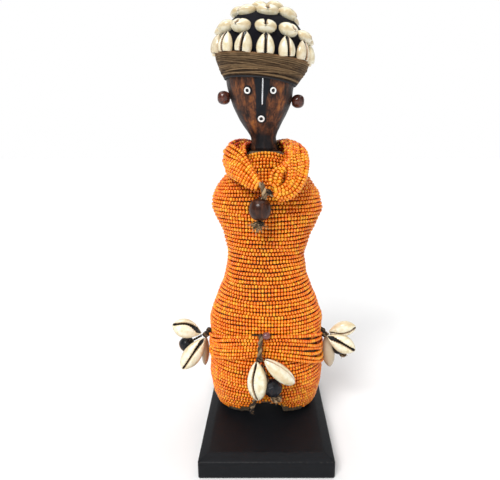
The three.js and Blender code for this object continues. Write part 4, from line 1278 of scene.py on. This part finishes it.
def bunches():
    hanging_shell("front_shell_1", "front_shell_1", (-5.9, -28.6, 59.6), (-5.4, -28.2, 34.5),
                  (-0.3, -1, 0), 12.4, slit=0.030, bend=0.15, teeth=15, open_root=0.3, blunt=0.48)
    hanging_shell("front_shell_2", "front_shell_2", (-1.0, -28.8, 61.0), (16.8, -27.6, 45.6),
                  (0.5, -0.14, 0.85), 11.8, slit=0.03, bend=0.0, teeth=14, blunt=0.44)
    hanging_shell("left_shell_1", "left_bunch", (-43.2, 3.3, 63.6), (-61.6, 1.5, 70.4),
                  (-0.1, -0.75, 0.65), 12.6, slit=0.05, bend=0.2, open_root=2.2)
    hanging_shell("left_shell_2", "left_bunch", (-41.2, 1.2, 61.0), (-55.4, -3, 41.0),
                  (0.1, -1, 0), 12.2, slit=0.04, open_root=1.3, bend=0.04)
    # This shell hangs behind the bunch: its high tan paints it darker, as shade.
    hanging_shell("left_shell_3", "left_bunch", (-41.0, 7.4, 60.0), (-42.0, 8.4, 38),
                  (-1, 0.1, 0), 11.4, 0.6, slit=0.04, tan=0.95)
    hanging_shell("right_shell_1", "right_bunch", (41.1, 2.6, 64.8), (58.6, 1, 69.0),
                  (0.05, -0.9, -0.43), 11.6, slit=0.075, tan=0.05, bend=0.08)
    hanging_shell("right_shell_2", "right_bunch", (40.0, 0.6, 62.8), (57.8, -3, 54.2),
                  (0, -1, 0.15), 11.6, slit=0.06, open_root=1.3, bend=-0.05)
    # This shell hangs behind the bunch: its high tan paints it darker, as shade.
    hanging_shell("right_shell_3", "right_bunch", (40.0, 7.2, 61.0), (43.6, 8.6, 36.6),
                  (-0.2, 1, 0), 9.0, slit=0.04, tan=1.0)
    corded_bead("front", "front_bead", (-2.9, -27.4, 57.2), (3.9, -27.2, 41.8), 5.6, 3.4, faceted=True,
                aside=(-1.5, 0, 0.6))
    corded_bead("left", "left_bunch", (-43.4, 5.4, 61.0), (-54.2, 8.6, 53.4), 4.9, 0.6, rim=True)
    corded_bead("right", "right_bunch", (43.0, 5.4, 62.0), (48.9, 7.2, 51.6), 4.6, 2.5)


def ties():
    front = Soup()
    hang = spline([(-3.1, -22.4, 73.4), (-3.4, -24.6, 72.4), (-4, -25.8, 67), (-4.2, -26.6, 61)], 60)
    twisted(front, hang, 1.4, pitch=7.4, tint=0.5)
    wound_knot(front, (-4.1, -26.8, 60.4), (1.8, 1.9, 1.9), 3, 0.8, 0.3)
    front.piece("front_tie_twine", twine, ROOT, "waxed_twine", ("front_tie",))
    end = Soup()
    line = spline([(-6.6, -24.4, 37.2), (-7.4, -24.0, 31), (-8.6, -22.6, 26), (-9.4, -21.2, 22)], 60)
    twisted(end, line, 1.35, pitch=6.4, tint=0.42)
    frayed(end, line[-1], (-0.1, -0.2, -1), 2.1, 24, 0.35, 0.2, 0.4)
    end.piece("front_cord_end_twine", twine, "front_shell_1", "waxed_twine", ("front_cord_end",))
    for side, body, low, high in (
        ("left", "left_bunch_tie", (-40.0, 3.6, 62.6), (-37.8, 3.2, 65.8)),
        ("right", "right_bunch_tie", (38.2, 3, 63.2), (36.9, 3, 65.8)),
    ):
        knot = Soup()
        wound_knot(knot, low, (2.1, 2.2, 2.0), 3, 0.8, 0.25)
        wound_knot(knot, high, (1.8, 2.0, 1.7), 3, 0.75, 0.15)
        stub = (-2.4, 0.2, -0.8) if side == "left" else (3.0, 0.2, -0.3)
        twisted(knot, evenly(np.array([low, np.add(low, stub)]), 16), 0.9, tint=0.35)
        frayed(knot, high, (0, -0.6, 0.6), 2.0, 12, 0.5, 0.18, 0.35)
        knot.piece(f"{side}_tie_twine", twine, body, "waxed_twine", (f"{side}_tie",))
    grid = turned(bored(2.3, 2.3, 0.6, 12), round_place, 28)
    rows, origin = frame_along((-0.1, -23.6, 74.0), (1, 0.1, 0), np.array([0, -1.0, 0]))
    small = ring_body(Soup(), origin + grid @ rows)
    small.piece("belt_plum_bead", plum_glass, ROOT, "orange_seed_beads")


# ---- everything ------------------------------------------------------------------------------------------
plinth()
carved_figure()
cloth_cover()
beaded_rows()
belt_strands()
necklace()
cap()
headband()
cap_shells()
face_details()
nose_strip()
ears()
pendant()
ties()
bunches()

for peg in ("left_foot_peg", "right_foot_peg"):
    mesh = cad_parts[peg].data
    mesh.materials.clear()
    mesh.materials.append(dowel_wood)

# ---- floor, light and camera -----------------------------------------------------------------------------
FLOOR_SIZE, FLOOR_DROP = 12, 0.0002
bpy.ops.mesh.primitive_plane_add(size=FLOOR_SIZE, location=(0, 0, -FLOOR_DROP))
floor = bpy.context.object
floor.name = "floor"
pale = plain_material("pale_floor", (0.86, 0.86, 0.86), (0.88, 0.88, 0.88), 0.7, 0.02, 0.0)
floor.data.materials.append(pale)

world = bpy.data.worlds.new("white_studio")
world.use_nodes = True
bpy.context.scene.world = world
sky = Nodes(world.node_tree)
background = world.node_tree.nodes["Background"]
background.inputs["Color"].default_value = (1, 1, 1, 1)
# A white card behind the object, low and wide, lights a room that is otherwise dim.
ROOM_LIGHT, CARD_LIGHT = 0.10, 1.0
_, backwards, upwards = sky.split(sky.node("TexCoord", {}, "Generated"))
behind = sky.node("MapRange", {0: backwards, 1: 0.0, 2: 0.35})
low_down = sky.node("MapRange", {0: upwards, 1: 0.5, 2: 0.36})
glow = sky.node("MapRange", {0: behind * low_down, 3: ROOM_LIGHT, 4: CARD_LIGHT})
# Seen straight on, the room is white all round.
seen = sky.node("LightPath", {}, "Is Camera Ray")
sky.feed(background.inputs["Strength"], sky.math("MAXIMUM", glow, seen))


def soft_sun(name, towards, strength, spread):
    light = bpy.data.lights.new(name, "SUN")
    light.energy, light.angle = strength, math.radians(spread)
    lamp = bpy.data.objects.new(name, light)
    lamp.rotation_euler = Vector(towards).to_track_quat("-Z", "Y").to_euler()
    bpy.context.scene.collection.objects.link(lamp)


soft_sun("key", (0.35, 0.72, -0.75), 2.7, 28)
soft_sun("fill", (-0.8, 0.9, -0.25), 0.6, 60)
soft_sun("top", (0.0, -0.15, -1.0), 1.5, 70)

camera = bpy.data.cameras.new("camera")
camera.sensor_width, camera.lens = 36, 30.96
camera.shift_x = -0.033
camera.clip_start, camera.clip_end = 0.01, 50
eye = bpy.data.objects.new("camera", camera)
eye.location = (0, -0.262, 0.1847)
EYE_DOWNWARD = 12.33
eye.rotation_euler = (math.radians(90 - EYE_DOWNWARD), 0, 0)
bpy.context.scene.collection.objects.link(eye)
bpy.context.scene.camera = eye
bpy.context.scene.view_settings.view_transform = "Standard"
